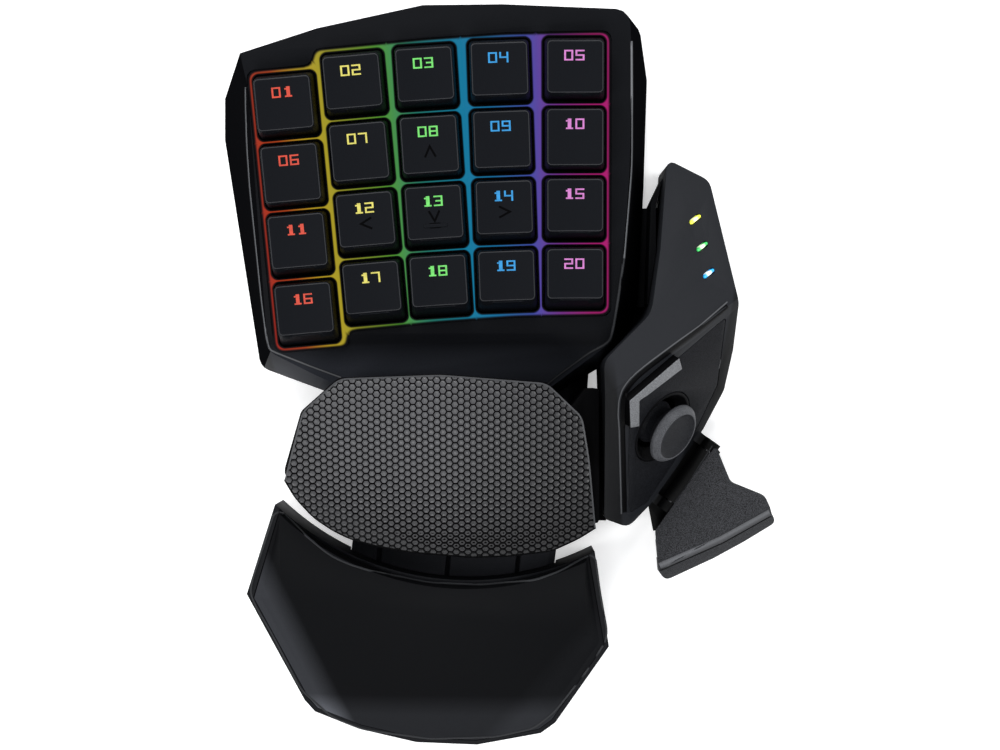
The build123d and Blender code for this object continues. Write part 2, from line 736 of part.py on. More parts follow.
def make_palm_base():
    rail_clear = rail_top + palm_foot_gap
    upper = prism(table, palm_points, palm_corner, palm_split_height, palm_crest_height + overrun)
    stop = cover_front - palm_gap
    lower = prism(table, palm_points, palm_corner, rail_clear, palm_split_height)
    lower -= box_on(table, (-whole, whole), (stop, whole), (0, palm_split_height))
    right = palm_x + palm_width / 2
    flank_points = [(right + palm_flank - (1 - x) * palm_width, palm_y + y * palm_length)
                    for x, y in palm_flank_shares]
    flank = prism(table, flank_points, palm_flank_corner, rail_clear, palm_flank_height)
    form = (upper + lower + flank) & barrel(0)
    room_points = inset(palm_points, palm_wall)
    room = prism(table, room_points, 0, rail_clear - overrun, palm_crest_height)
    room -= box_on(table, (-whole, whole), (stop - palm_wall, whole), (0, palm_split_height + palm_wall))
    base = form - (room & barrel(palm_pad_thickness + palm_wall))
    pocket = prism(table, inset(palm_points, palm_pad_inset), palm_corner - palm_pad_inset,
                   0, palm_crest_height + overrun) - barrel(palm_pad_thickness)
    base -= pocket
    for share in palm_rib_shares:
        rib = box_on(table, (palm_x - palm_width / 2, palm_x + palm_width / 2),
                     (palm_y + share * palm_length - palm_wall / 2, palm_y + share * palm_length + palm_wall / 2),
                     (rail_clear, palm_crest_height))
        base += rib & barrel(palm_pad_thickness + palm_wall / 2) & prism(
            table, inset(palm_points, palm_wall / 2), 0, 0, palm_crest_height)
    return base


def make_palm_pad():
    points = inset(palm_points, palm_pad_inset + fit_gap)
    pad = prism(table, points, palm_corner - palm_pad_inset, 0, palm_crest_height + overrun)
    return (pad & barrel(-palm_pad_proud)) - barrel(palm_pad_thickness)


def make_rest_rail():
    rail = box_on(rest_frame, rail_x, (rail_front, rail_back), (rail_bottom, rail_top))
    long_edges = rail.edges().filter_by(Axis((0, 0, 0), rest_frame.y_dir)).group_by(Axis.Z)[-1]
    rail = chamfer(long_edges, rail_chamfer)
    for share in rail_rib_shares:
        x = (rail_x[0] + rail_x[1]) / 2 + share * rail_width
        rail -= box_on(rest_frame, (x - rail_rib / 2, x + rail_rib / 2), (rail_front - overrun, palm_front_local),
                       (rail_top - rail_rib_height, rail_top + overrun))
    for x in rail_screw_places():
        spot = rest_frame.from_local_coords(Vector(x, rail_screw_y, 0))
        rail -= peg_on(table, spot.X, spot.Y, screw_diameter, rail_bottom - overrun, rail_top - overrun)
    return rail


wrist_points = scaled(wrist_shares, wrist_width, wrist_length)
wrist_inner = scaled(wrist_inner_shares, wrist_width, wrist_length)
wrist_tip = (wrist_tip_shares[0] * wrist_width, wrist_tip_shares[1] * wrist_length)
wrist_low_y = min(y for x, y in wrist_points)
wrist_top = Plane(origin=wrist_frame.from_local_coords(Vector(0, wrist_low_y, wrist_front_height)),
                  x_dir=wrist_frame.x_dir,
                  z_dir=wrist_frame.from_local_coords(
                      Vector(0, -sin(radians(wrist_slope_angle)), cos(radians(wrist_slope_angle)))) -
                  wrist_frame.from_local_coords(Vector(0, 0, 0)))


def wrist_face(points, depth, start_y=0, stretch=1):
    # The outline of the wrist rest, with its hollow back edge as one arc between the tips.
    right, left = points[-1], wrist_tip
    side = depth * wrist_tip_share
    tips = [(left[0] + side, left[1] - depth), (right[0] - side, right[1] - depth)]
    corners = [tips[0]] + inset(points, depth)[:-1] + [tips[1]]
    corners = [(x, (y - start_y) * stretch) for x, y in corners]
    edges = [Line(corners[i], corners[i + 1]) for i in range(len(corners) - 1)]
    middle = (0, (wrist_hollow - depth - start_y) * stretch)
    edges.append(ThreePointArc(corners[-1], middle, corners[0]))
    return make_face(edges)


def wrist_block(points, depth, bottom, top):
    face = wrist_frame.offset(bottom) * wrist_face(points, depth)
    return extrude(face, top - bottom, dir=(0, 0, 1))


def make_wrist_shell():
    tall = wrist_front_height + wrist_length
    form = wrist_block(wrist_points, 0, case_ground_gap, tall) - above(wrist_top, whole)
    room = wrist_block(wrist_points, wrist_wall, case_ground_gap - overrun, tall)
    room -= above(wrist_top.offset(-wrist_wall - wrist_pad_seat), whole)
    shell = form - room
    recess = wrist_block(wrist_points, wrist_rim, case_ground_gap, tall)
    shell -= recess & above(wrist_top.offset(-wrist_pad_seat), whole)
    clear = running_gap
    shell -= box_on(rest_frame, (rail_x[0] - clear, rail_x[1] + clear), (wrist_y, palm_front_local),
                    (0, rail_top + clear))
    for x, y in scaled(wrist_foot_shares, wrist_width, wrist_length):
        boss = peg_on(wrist_frame, x, y, wrist_foot_diameter + 2 * wrist_wall, case_ground_gap, tall)
        shell += (boss & form) - above(wrist_top.offset(-wrist_pad_seat), whole)
        shell -= peg_on(wrist_frame, x, y, wrist_foot_diameter + 2 * fit_gap, 0, case_ground_gap + foot_seat)
    return shell


def make_wrist_pad():
    # A seated slab with a raised middle whose bevel fades into the two tips.
    outer = wrist_block(wrist_points, wrist_rim + fit_gap, 0, wrist_length)
    slab = (outer & above(wrist_top.offset(-wrist_pad_seat), whole)) - above(wrist_top, whole)
    stretch = 1 / cos(radians(wrist_slope_angle))
    foot_depth = wrist_rim + fit_gap + wrist_pad_step
    foot = wrist_top.offset(-wrist_pad_seat / 2) * wrist_face(wrist_points, foot_depth, wrist_low_y, stretch)
    crown = wrist_top.offset(wrist_pad_rise) * wrist_face(wrist_inner, wrist_rim + fit_gap, wrist_low_y, stretch)
    return slab + loft([foot, crown], ruled=True)


def make_wrist_feet():
    places = scaled(wrist_foot_shares, wrist_width, wrist_length)
    return [peg_on(wrist_frame, x, y, wrist_foot_diameter, 0, case_ground_gap + foot_seat)
            for x, y in places]


# Thumb module
def thumb_form(depth, face_depth, bottom):
    radii = [max(radius - depth, 0) for radius in thumb_corners]
    form = prism(table, inset(thumb_points, depth), radii, bottom, whole)
    form -= above(panel.offset(-face_depth), whole)
    form -= above(wing.offset(-depth), whole)
    return form - cover_form(-running_gap - depth) - case_form(-running_gap - depth, 0)


hinge_low, hinge_high = Vector(*thumb_points[2]), Vector(*thumb_points[3])
hinge_along = (hinge_high - hinge_low).normalized()
hinge_out = Vector(hinge_along.Y, -hinge_along.X, 0)
hinge_length = (hinge_high - hinge_low).length
hinge_spot = (hinge_low + hinge_high) * 0.5 + hinge_out * paddle_hinge_offset + Vector(0, 0, paddle_hinge_height)
paddle_frame = Plane(origin=hinge_spot, x_dir=hinge_along, z_dir=(0, 0, 1))
pin_half = hinge_length * paddle_pin_share


def hinge_bar(low, high, diameter):
    along = Plane(origin=hinge_spot, x_dir=(0, 0, 1), z_dir=hinge_along)
    return cylinder_on(along, 0, 0, diameter, low, high)


def lug_spans():
    return ((-pin_half, -pin_half + paddle_lug_width), (pin_half - paddle_lug_width, pin_half))


def make_thumb_housing():
    housing = thumb_form(0, 0, thumb_ground_gap)
    housing -= thumb_form(thumb_wall, thumb_face_wall, thumb_ground_gap - overrun)
    housing -= panel_block(0, -panel_thickness, overrun)
    for low, high in lug_spans():
        lug = hinge_bar(low, high, paddle_barrel_diameter)
        web = box_on(paddle_frame, (low, high), (0, paddle_hinge_offset + thumb_wall / 2),
                     (-paddle_barrel_diameter / 2, 0))
        housing += lug + web
    housing -= hinge_bar(-pin_half - overrun, pin_half + overrun, paddle_pin_diameter)
    tray = [(x * paddle_reach, -y * paddle_reach) for x, y in hinge_tray_shares]
    housing += prism(paddle_frame, tray[::-1], 0, thumb_ground_gap - paddle_hinge_height,
                     thumb_ground_gap + thumb_floor - paddle_hinge_height)
    housing -= disc_on(panel, stick_socket_diameter + 2 * fit_gap, -2 * thumb_face_wall, overrun)
    housing -= button_block(-button_gap, -2 * thumb_face_wall, overrun)
    for place in window_places():
        housing -= window_block(place, 0, -2 * thumb_wall, overrun, fit_gap)
    housing -= box_on(table, (arm_wall_x, arm_end_x + fit_gap), (tongue_y[0] - fit_gap, tongue_y[1] + fit_gap),
                      (thumb_ground_gap + thumb_floor, tongue_top + fit_gap))
    return housing


def panel_block(depth, bottom, top):
    points = inset(scaled(panel_shares, thumb_length, thumb_length), depth)
    return prism(panel, points, panel_corner, bottom, top)


def button_block(depth, bottom, top):
    return prism(panel, inset(scaled(button_shares, thumb_length, thumb_length), depth), 0, bottom, top)


def make_thumb_panel():
    plate = panel_block(fit_gap, -panel_thickness, 0)
    plate &= thumb_form(0, -overrun, thumb_ground_gap)
    plate -= disc_on(panel, stick_socket_diameter + 2 * fit_gap, -2 * panel_thickness, overrun)
    return plate - button_block(-button_gap, -2 * panel_thickness, overrun)


arm_end_x = thumb_crest.X + arm_end_share * thumb_length


def make_thumb_arm():
    tongue = box_on(table, (arm_wall_x - arm_reach, arm_end_x), tongue_y, (tongue_bottom, tongue_top))
    gap = running_gap
    low_y = tongue_y[0] + gap
    wall = [skirt_points[i] for i in (8, 9)]
    points = [(wall[0][0] + gap, low_y), (thumb_points[9][0] - fit_gap, low_y),
              (thumb_points[9][0] - fit_gap, tongue_y[1]), (thumb_points[8][0] - fit_gap, tongue_y[1] + arm_grip),
              (wall[1][0] + gap, tongue_y[1] + gap)]
    block = prism(table, points, 0, tongue_bottom, arm_top_height)
    block -= thumb_form(-fit_gap, -fit_gap, 0)
    arm = tongue + block
    for x, y in thumb_screw_places():
        arm -= peg_on(table, x, y, screw_diameter, tongue_bottom - overrun, tongue_top + overrun)
    return arm


def make_thumb_base():
    points = inset(thumb_points, thumb_wall + fit_gap)
    radii = [max(radius - thumb_wall, 0) for radius in thumb_corners]
    plate = prism(table, points, radii, thumb_ground_gap, thumb_ground_gap + thumb_floor)
    for x, y in thumb_foot_places():
        plate -= peg_on(table, x, y, thumb_foot_diameter + 2 * fit_gap, 0, thumb_ground_gap + foot_seat)
    for x, y in thumb_screw_places():
        plate -= peg_on(table, x, y, screw_diameter, 0, floor_top + overrun)
        plate -= peg_on(table, x, y, screw_head_diameter, 0, thumb_ground_gap + screw_head_height / 2)
    return plate & thumb_form(thumb_wall, thumb_face_wall, 0)


def thumb_foot_places():
    return shifted(scaled(thumb_foot_shares, thumb_length, thumb_length), thumb_crest.X, thumb_crest.Y)


def thumb_screw_places():
    middle = (tongue_y[0] + tongue_y[1]) / 2
    x = arm_end_x - screw_head_diameter
    return ((x, (tongue_y[0] + middle) / 2), (x, (tongue_y[1] + middle) / 2))


def make_thumb_screws():
    return [screw(x, y, thumb_ground_gap, tongue_top) for x, y in thumb_screw_places()]


def make_thumb_feet():
    return [peg_on(table, x, y, thumb_foot_diameter, 0, thumb_ground_gap + foot_seat)
            for x, y in thumb_foot_places()]


def window_places():
    spots = shifted(scaled(window_shares, thumb_length, thumb_length), thumb_crest.X, thumb_crest.Y)
    places = []
    for x, y in spots:
        drop = ((x - thumb_crest.X) * wing.z_dir.X + (y - thumb_crest.Y) * wing.z_dir.Y) / wing.z_dir.Z
        along = Vector(cos(radians(window_turn_angle)), sin(radians(window_turn_angle)), 0)
        along -= wing.z_dir * along.dot(wing.z_dir)
        places.append(Plane(origin=(x, y, thumb_crest.Z - drop), x_dir=along, z_dir=wing.z_dir))
    return places


def window_block(place, grow, bottom, top, gap):
    width = window_width + 2 * (grow + gap)
    face = cut_face(window_length + 2 * (grow + gap), width, width * window_cut_share)
    return extrude(place.offset(bottom) * face, top - bottom, dir=place.z_dir)


def make_window(place):
    pipe = window_block(place, 0, -thumb_wall, window_proud, 0)
    return pipe + window_block(place, window_flange, -thumb_wall - window_flange, -thumb_wall, 0)


pivot = panel.offset(-stick_pivot_depth)


def make_stick_socket():
    # A shallow bowl with a deeper cup in its middle, in which the gimbal turns.
    outer, wall = stick_socket_diameter / 2, stick_socket_wall
    cup = stick_dome_radius + running_gap
    profile = [(0, -stick_socket_depth), (cup + wall, -stick_socket_depth), (cup + wall, -stick_bowl_depth - wall),
               (outer, -stick_bowl_depth - wall), (outer, 0), (outer - wall / 2, 0), (cup, -stick_bowl_depth),
               (cup, wall - stick_socket_depth), (0, wall - stick_socket_depth)]
    socket = turned_body(panel, profile)
    pin = Plane(origin=pivot.origin, x_dir=panel.z_dir, z_dir=panel.x_dir)
    return socket - cylinder_on(pin, 0, 0, stick_pin_diameter + 2 * pin_gap, -whole, whole)


def make_stick_gimbal():
    ring = disc_on(pivot, gimbal_diameter, -gimbal_height / 2, gimbal_height / 2)
    ring -= disc_on(pivot, gimbal_diameter - 2 * gimbal_wall, -gimbal_height, gimbal_height)
    along = Plane(origin=pivot.origin, x_dir=panel.z_dir, z_dir=panel.x_dir)
    reach = stick_dome_radius + running_gap + stick_socket_wall - pin_gap
    inner = gimbal_diameter / 2 - gimbal_wall / 2
    ring += cylinder_on(along, 0, 0, stick_pin_diameter, inner, reach)
    ring += cylinder_on(along, 0, 0, stick_pin_diameter, -reach, -inner)
    across = Plane(origin=pivot.origin, x_dir=panel.z_dir, z_dir=panel.y_dir)
    return ring - cylinder_on(across, 0, 0, stick_pin_diameter + 2 * pin_gap, -gimbal_diameter, gimbal_diameter)


def make_thumb_stick():
    # A knob with a dished face on a neck, with the dome that closes the cup and the pin it tilts on.
    low, top, bevel = stick_knob_rise - stick_knob_thickness, stick_knob_rise, stick_knob_bevel
    half, neck = stick_knob_diameter / 2, stick_neck_diameter / 2
    dome = stick_dome_radius - stick_dome_gap
    dome_low = gimbal_height / 2 + stick_pin_diameter - stick_pivot_depth
    shoulder = -stick_pivot_depth + dome * cos(radians(stick_dome_angle))
    reach = dome * sin(radians(stick_dome_angle))
    skirt = (dome * dome - (dome_low + stick_pivot_depth) ** 2) ** 0.5
    profile = [(0, top - bevel), (half * stick_face_share, top - bevel / 2), (half - bevel, top), (half, top - bevel),
               (half, low + bevel), (half * stick_under_share, low), (neck, low), (neck, shoulder),
               (reach, shoulder), (skirt, dome_low), (skirt - stick_dome_wall, dome_low),
               (reach - stick_dome_wall / 2, shoulder - stick_dome_wall), (neck, shoulder - stick_dome_wall),
               (neck, -stick_pivot_depth - stick_pin_diameter), (0, -stick_pivot_depth - stick_pin_diameter)]
    across = Plane(origin=pivot.origin, x_dir=panel.z_dir, z_dir=panel.y_dir)
    half_pin = gimbal_diameter / 2 - pin_gap
    return turned_body(panel, profile) + cylinder_on(across, 0, 0, stick_pin_diameter, -half_pin, half_pin)


def make_corner_button():
    cap = button_block(0, -thumb_face_wall - button_flange_thickness, button_proud)
    flange = button_block(-button_flange, -thumb_face_wall - button_travel - button_flange_thickness,
                          -thumb_face_wall - button_gap)
    room = thumb_form(thumb_wall + button_gap + button_travel, 0, 0)
    return cap + (flange & room)


button_switch_top = -thumb_face_wall - button_travel - button_flange_thickness


def make_thumb_board():
    low = -stick_socket_depth - board_thickness
    corners = scaled(thumb_board_shares, thumb_length, thumb_length)
    (left, back), (right, front) = corners
    plate = box_on(panel, (left, right), (back, front), (low, -stick_socket_depth))
    return plate & thumb_form(thumb_wall + running_gap, thumb_face_wall, thumb_ground_gap + 2 * thumb_floor)


def make_button_switch():
    u, v = button_switch_share[0] * thumb_length, button_switch_share[1] * thumb_length
    half = button_switch_width / 2
    top = button_switch_top - button_travel - fit_gap
    return box_on(panel, (u - half, u + half), (v - half, v + half), (-stick_socket_depth, top))


def make_paddle():
    # A shaped plate that rises from its hinge to a crease, with a lip that turns down beyond it.
    points = [(x * paddle_reach, -y * paddle_reach) for x, y in paddle_shares]
    low = -paddle_barrel_diameter / 2
    plan = prism(paddle_frame, points[::-1], list(paddle_corners[::-1]), low, paddle_reach)
    slope = radians(paddle_slope_angle)
    top = Plane(origin=paddle_frame.from_local_coords(Vector(0, 0, paddle_barrel_diameter / 2)),
                x_dir=paddle_frame.x_dir,
                z_dir=paddle_frame.z_dir * cos(slope) + paddle_frame.y_dir * sin(slope))
    first, last = [Vector(x * paddle_reach, -y * paddle_reach) for x, y in paddle_lip_shares]
    along = (last - first).normalized()
    outward = Vector(along.Y, -along.X, 0)
    heights = [paddle_barrel_diameter / 2 - spot.Y * tan(slope) for spot in (first, last)]
    crease_low, crease_high = [paddle_frame.from_local_coords(spot + Vector(0, 0, height))
                               for spot, height in zip((first, last), heights)]
    crease = (crease_high - crease_low).normalized()
    out = paddle_frame.from_local_coords(outward) - paddle_frame.origin
    lean = radians(paddle_lip_slope_angle)
    lip = Plane(origin=crease_low, x_dir=crease, z_dir=(out * sin(lean) + Vector(0, 0, cos(lean))))
    plate = plan - above(top, whole) - above(lip, whole)
    inner = Plane(origin=crease_low - out * paddle_lip_wall, x_dir=crease, z_dir=out)
    plate -= box_on(top.offset(-paddle_thickness), (-whole, whole), (-whole, whole), (-whole, 0)) - above(inner, whole)
    span = pin_half - paddle_lug_width - paddle_side_gap
    knuckle = hinge_bar(-span, span, paddle_barrel_diameter)
    plate -= hinge_bar(-whole, -span, paddle_barrel_diameter + 2 * running_gap)
    plate -= hinge_bar(span, whole, paddle_barrel_diameter + 2 * running_gap)
    return plate + knuckle - hinge_bar(-pin_half, pin_half, paddle_pin_diameter + 2 * pin_gap)


def make_paddle_pin():
    return hinge_bar(-pin_half, pin_half, paddle_pin_diameter)


# Every node by name
def build():
    nodes = {
        "bottom_case": make_bottom_case(),
        "top_cover": make_top_cover(),
        "key_well_frame": make_key_well_frame(),
        "light_guide": make_light_guide(),
        "switch_plate": make_switch_plate(),
        "circuit_board": make_circuit_board(),
        "switch_housings": make_switch_housings(),
        "cable_gland": make_cable_gland(),
        "rubber_feet": make_rubber_feet(),
        "case_screws": make_case_screws(),
        "rest_rail": make_rest_rail(),
        "rail_screws": make_rail_screws(),
        "palm_rest_base": make_palm_base(),
        "palm_rest_pad": make_palm_pad(),
        "wrist_rest_shell": make_wrist_shell(),
        "wrist_rest_pad": make_wrist_pad(),
        "wrist_rest_feet": make_wrist_feet(),
        "thumb_housing": make_thumb_housing(),
        "thumb_arm": make_thumb_arm(),
        "thumb_base": make_thumb_base(),
        "thumb_panel": make_thumb_panel(),
        "thumb_screws": make_thumb_screws(),
        "thumb_feet": make_thumb_feet(),
        "thumb_circuit_board": make_thumb_board(),
        "button_switch": make_button_switch(),
        "stick_socket": make_stick_socket(),
        "stick_gimbal": make_stick_gimbal(),
        "thumb_stick": make_thumb_stick(),
        "corner_button": make_corner_button(),
        "thumb_paddle": make_paddle(),
        "paddle_pin": make_paddle_pin(),
    }
    for name, place in zip(("yellow", "green", "blue"), window_places()):
        nodes["indicator_" + name] = make_window(place)
    for row in range(key_rows):
        for column in range(key_columns):
            nodes["keycap_%02d" % (row * key_columns + column + 1)] = make_keycap(column, row)
    return nodes


os.makedirs("parts", exist_ok=True)
for name, shape in build().items():
    pieces = shape if isinstance(shape, list) else [shape]
    solids = [solid for piece in pieces for solid in piece.solids()]
    export_step(Compound(children=solids), "parts/" + name + ".step")
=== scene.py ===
import json
import math

import bmesh
import bpy
from mathutils import Matrix, Vector
from mathutils.bvhtree import BVHTree

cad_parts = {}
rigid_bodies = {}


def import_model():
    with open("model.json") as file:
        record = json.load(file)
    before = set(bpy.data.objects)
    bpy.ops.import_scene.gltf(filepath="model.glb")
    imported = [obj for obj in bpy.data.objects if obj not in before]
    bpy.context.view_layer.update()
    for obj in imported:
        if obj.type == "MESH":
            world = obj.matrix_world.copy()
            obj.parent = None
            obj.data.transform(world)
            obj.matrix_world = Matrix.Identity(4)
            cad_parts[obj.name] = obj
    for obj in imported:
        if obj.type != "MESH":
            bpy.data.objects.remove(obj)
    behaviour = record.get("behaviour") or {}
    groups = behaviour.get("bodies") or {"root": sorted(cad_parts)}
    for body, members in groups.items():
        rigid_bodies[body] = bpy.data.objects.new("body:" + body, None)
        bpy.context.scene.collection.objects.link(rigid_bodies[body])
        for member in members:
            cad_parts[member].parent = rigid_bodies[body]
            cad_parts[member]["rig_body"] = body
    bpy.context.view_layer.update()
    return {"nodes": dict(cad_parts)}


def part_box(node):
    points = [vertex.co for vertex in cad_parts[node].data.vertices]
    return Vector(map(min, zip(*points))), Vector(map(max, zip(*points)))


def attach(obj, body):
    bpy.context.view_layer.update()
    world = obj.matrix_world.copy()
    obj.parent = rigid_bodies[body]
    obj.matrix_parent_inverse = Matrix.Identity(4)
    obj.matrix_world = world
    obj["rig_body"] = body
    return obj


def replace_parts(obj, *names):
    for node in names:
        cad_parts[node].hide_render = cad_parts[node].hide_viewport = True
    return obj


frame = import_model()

nodes = frame["nodes"]
bodyOf = {name: node["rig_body"] for name, node in nodes.items()}
mm = 0.001
print("frame loaded,", len(nodes), "nodes")


# Node helpers
def feed(tree, node, inputs):
    # Links or sets inputs of a node, each known by its name or its number.
    for key, value in inputs.items():
        if isinstance(value, bpy.types.NodeSocket):
            tree.links.new(value, node.inputs[key])
        else:
            node.inputs[key].default_value = value


def addNode(tree, kind, inputs=None, **settings):
    node = tree.nodes.new(kind)
    for name, value in settings.items():
        setattr(node, name, value)
    feed(tree, node, inputs or {})
    return node


def mathNode(tree, operation, *values):
    return addNode(tree, "ShaderNodeMath", dict(enumerate(values)), operation=operation).outputs[0]


# Camera straight above the keypad, floor and lamps
cameraPlace = {"x": 0.55 * mm, "y": 2.7 * mm, "height": 640 * mm, "lens": 79.92, "sensor": 36,
               "near": 0.01, "far": 20}
lamps = [  # each looks at the middle of the keypad
    {"name": "lampBack", "place": (-0.25, 0.75, 0.75), "size": 0.7, "power": 9.0},
    {"name": "lampLeft", "place": (-0.75, -0.25, 0.7), "size": 0.6, "power": 4.0},
    {"name": "lampRight", "place": (0.8, 0.15, 0.6), "size": 0.5, "power": 4.0},
    {"name": "lampFront", "place": (-0.07, -0.50, 0.66), "size": 0.3, "power": 2.6}]
roomLight = {"colour": (0.95, 0.97, 1.0), "strength": 0.55}
floorLook = {"half": 4.0, "tone": (0.86, 0.86, 0.86, 1), "glow": (1, 1, 1, 1), "strength": 0.42}


def makeCamera(settings):
    data = bpy.data.cameras.new("photoCamera")
    data.lens = settings["lens"]
    data.sensor_width = settings["sensor"]
    data.clip_start = settings["near"]
    data.clip_end = settings["far"]
    camera = bpy.data.objects.new("photoCamera", data)
    camera.location = (settings["x"], settings["y"], settings["height"])
    bpy.context.scene.collection.objects.link(camera)
    bpy.context.scene.camera = camera


def makeLamps(entries):
    for entry in entries:
        data = bpy.data.lights.new(entry["name"], "AREA")
        data.shape = "DISK"
        data.size = entry["size"]
        data.energy = entry["power"]
        lamp = bpy.data.objects.new(entry["name"], data)
        lamp.location = entry["place"]
        lamp.rotation_euler = (-Vector(entry["place"])).to_track_quat("-Z", "Y").to_euler()
        bpy.context.scene.collection.objects.link(lamp)


def makeRoom(settings):
    world = bpy.data.worlds.new("paleRoom")
    world.use_nodes = True
    background = world.node_tree.nodes["Background"]
    background.inputs["Color"].default_value = (*settings["colour"], 1)
    background.inputs["Strength"].default_value = settings["strength"]
    bpy.context.scene.world = world


def makeFloor(settings):
    # A pale floor that the camera sees a little brighter than the lamps leave it.
    material = bpy.data.materials.new("paleFloor")
    material.use_nodes = True
    tree = material.node_tree
    tree.nodes.clear()
    seen = addNode(tree, "ShaderNodeLightPath").outputs["Is Camera Ray"]
    matt = addNode(tree, "ShaderNodeBsdfDiffuse", {"Color": settings["tone"]})
    glow = addNode(tree, "ShaderNodeEmission", {
        "Color": settings["glow"], "Strength": mathNode(tree, "MULTIPLY", seen, settings["strength"])})
    both = addNode(tree, "ShaderNodeAddShader", {0: matt.outputs[0], 1: glow.outputs[0]})
    addNode(tree, "ShaderNodeOutputMaterial", {"Surface": both.outputs[0]})
    half = settings["half"]
    corners = [(-half, -half, 0), (half, -half, 0), (half, half, 0), (-half, half, 0)]
    mesh = bpy.data.meshes.new("floor")
    mesh.from_pydata(corners, [], [(0, 1, 2, 3)])
    mesh.materials.append(material)
    floor = bpy.data.objects.new("floor", mesh)
    bpy.context.scene.collection.objects.link(floor)


bpy.context.scene.view_settings.view_transform = "Standard"
makeCamera(cameraPlace)
makeLamps(lamps)
makeRoom(roomLight)
makeFloor(floorLook)
print("camera, lamps and floor ready")


# Materials
def startMaterial(name):
    material = bpy.data.materials.new(name)
    material.use_nodes = True
    tree = material.node_tree
    shader = tree.nodes["Principled BSDF"]
    place = tree.nodes.new("ShaderNodeTexCoord")
    return material, tree, shader, place.outputs["Object"]


def noiseNode(tree, place, grain, detail=2.0, roughness=0.5):
    # A noise whose blobs are about one grain wide.
    return addNode(tree, "ShaderNodeTexNoise", {
        "Vector": place, "Scale": 1 / grain, "Detail": detail, "Roughness": roughness}).outputs["Fac"]


def rampNode(tree, factor, stops):
    ramp = tree.nodes.new("ShaderNodeValToRGB")
    elements = ramp.color_ramp.elements
    while len(elements) < len(stops):
        elements.new(0.5)
    for element, (position, colour) in zip(elements, stops):
        element.position = position
        element.color = (*colour, 1)
    tree.links.new(factor, ramp.inputs["Fac"])
    return ramp.outputs["Color"]


def rangeNode(tree, factor, low, high, start=0.0, end=1.0):
    return addNode(tree, "ShaderNodeMapRange", {
        "Value": factor, "From Min": start, "From Max": end, "To Min": low, "To Max": high}).outputs["Result"]


def vectorNode(tree, operation, first, second):
    inputs = {0: first, "Scale" if operation == "SCALE" else 1: second}
    return addNode(tree, "ShaderNodeVectorMath", inputs, operation=operation)


def paintLightAndShade(tree, place, tone, bands):
    # Paints light and shade into the tone: scales it beyond lines drawn in plan, each with a direction across
    # it, a distance and a softness.
    for factor, lines in bands:
        mask = None
        for direction, distance, soft in lines:
            across = vectorNode(tree, "DOT_PRODUCT", place, (*direction, 0)).outputs["Value"]
            share = rangeNode(tree, across, 0, 1, (distance - soft) * mm, (distance + soft) * mm)
            mask = share if mask is None else mathNode(tree, "MULTIPLY", mask, share)
        tone = vectorNode(tree, "SCALE", tone, rangeNode(tree, mask, 1.0, factor)).outputs[0]
    return tone


def plastic(name, look):
    # Moulded plastic: a fine grain in colour and bump over a wide, faint change of gloss, with painted light
    # and shade where the look has bands.
    material, tree, shader, place = startMaterial(name)
    grain = noiseNode(tree, place, look["grain"])
    wide = noiseNode(tree, place, look["patch"], 1.0)
    dark = tuple(c * (1 - look["shift"]) for c in look["colour"])
    light = tuple(c * (1 + look["shift"]) for c in look["colour"])
    tone = rampNode(tree, grain, [(look["low"], dark), (look["high"], light)])
    # A look with a sheen gets a painted highlight, as strong as the piece's ridge attribute.
    if look["sheen"]:
        ridge = addNode(tree, "ShaderNodeAttribute", attribute_name="ridge")
        lift = {0: ridge.outputs["Fac"], 1: look["sheen"], 2: tone}
        tone = addNode(tree, "ShaderNodeVectorMath", lift, operation="MULTIPLY_ADD").outputs[0]
    bump = addNode(tree, "ShaderNodeBump", {
        "Strength": look["bump"], "Distance": look["depth"], "Height": grain})
    feed(tree, shader, {
        "Base Color": paintLightAndShade(tree, place, tone, look["bands"]),
        "Roughness": rangeNode(tree, wide, look["rough"] - look["gloss"], look["rough"] + look["gloss"]),
        "Normal": bump.outputs["Normal"], "Specular IOR Level": look["specular"], "Metallic": look["metal"]})
    return material


glowLook = {"cloud": 1.2 * mm, "edge": 0.75, "low": 0.3, "high": 0.7, "base": 0.25, "rough": 0.4}


def litMaterial(name, colour, strength):
    # A lit legend, a little brighter where its noise is high.
    material, tree, shader, place = startMaterial(name)
    cloud = noiseNode(tree, place, glowLook["cloud"], 1.0)
    edge = tuple(c * glowLook["edge"] for c in colour)
    tone = rampNode(tree, cloud, [(glowLook["low"], edge), (glowLook["high"], colour)])
    feed(tree, shader, {
        "Base Color": vectorNode(tree, "SCALE", tone, glowLook["base"]).outputs[0], "Emission Color": tone,
        "Emission Strength": strength, "Roughness": glowLook["rough"]})
    return material
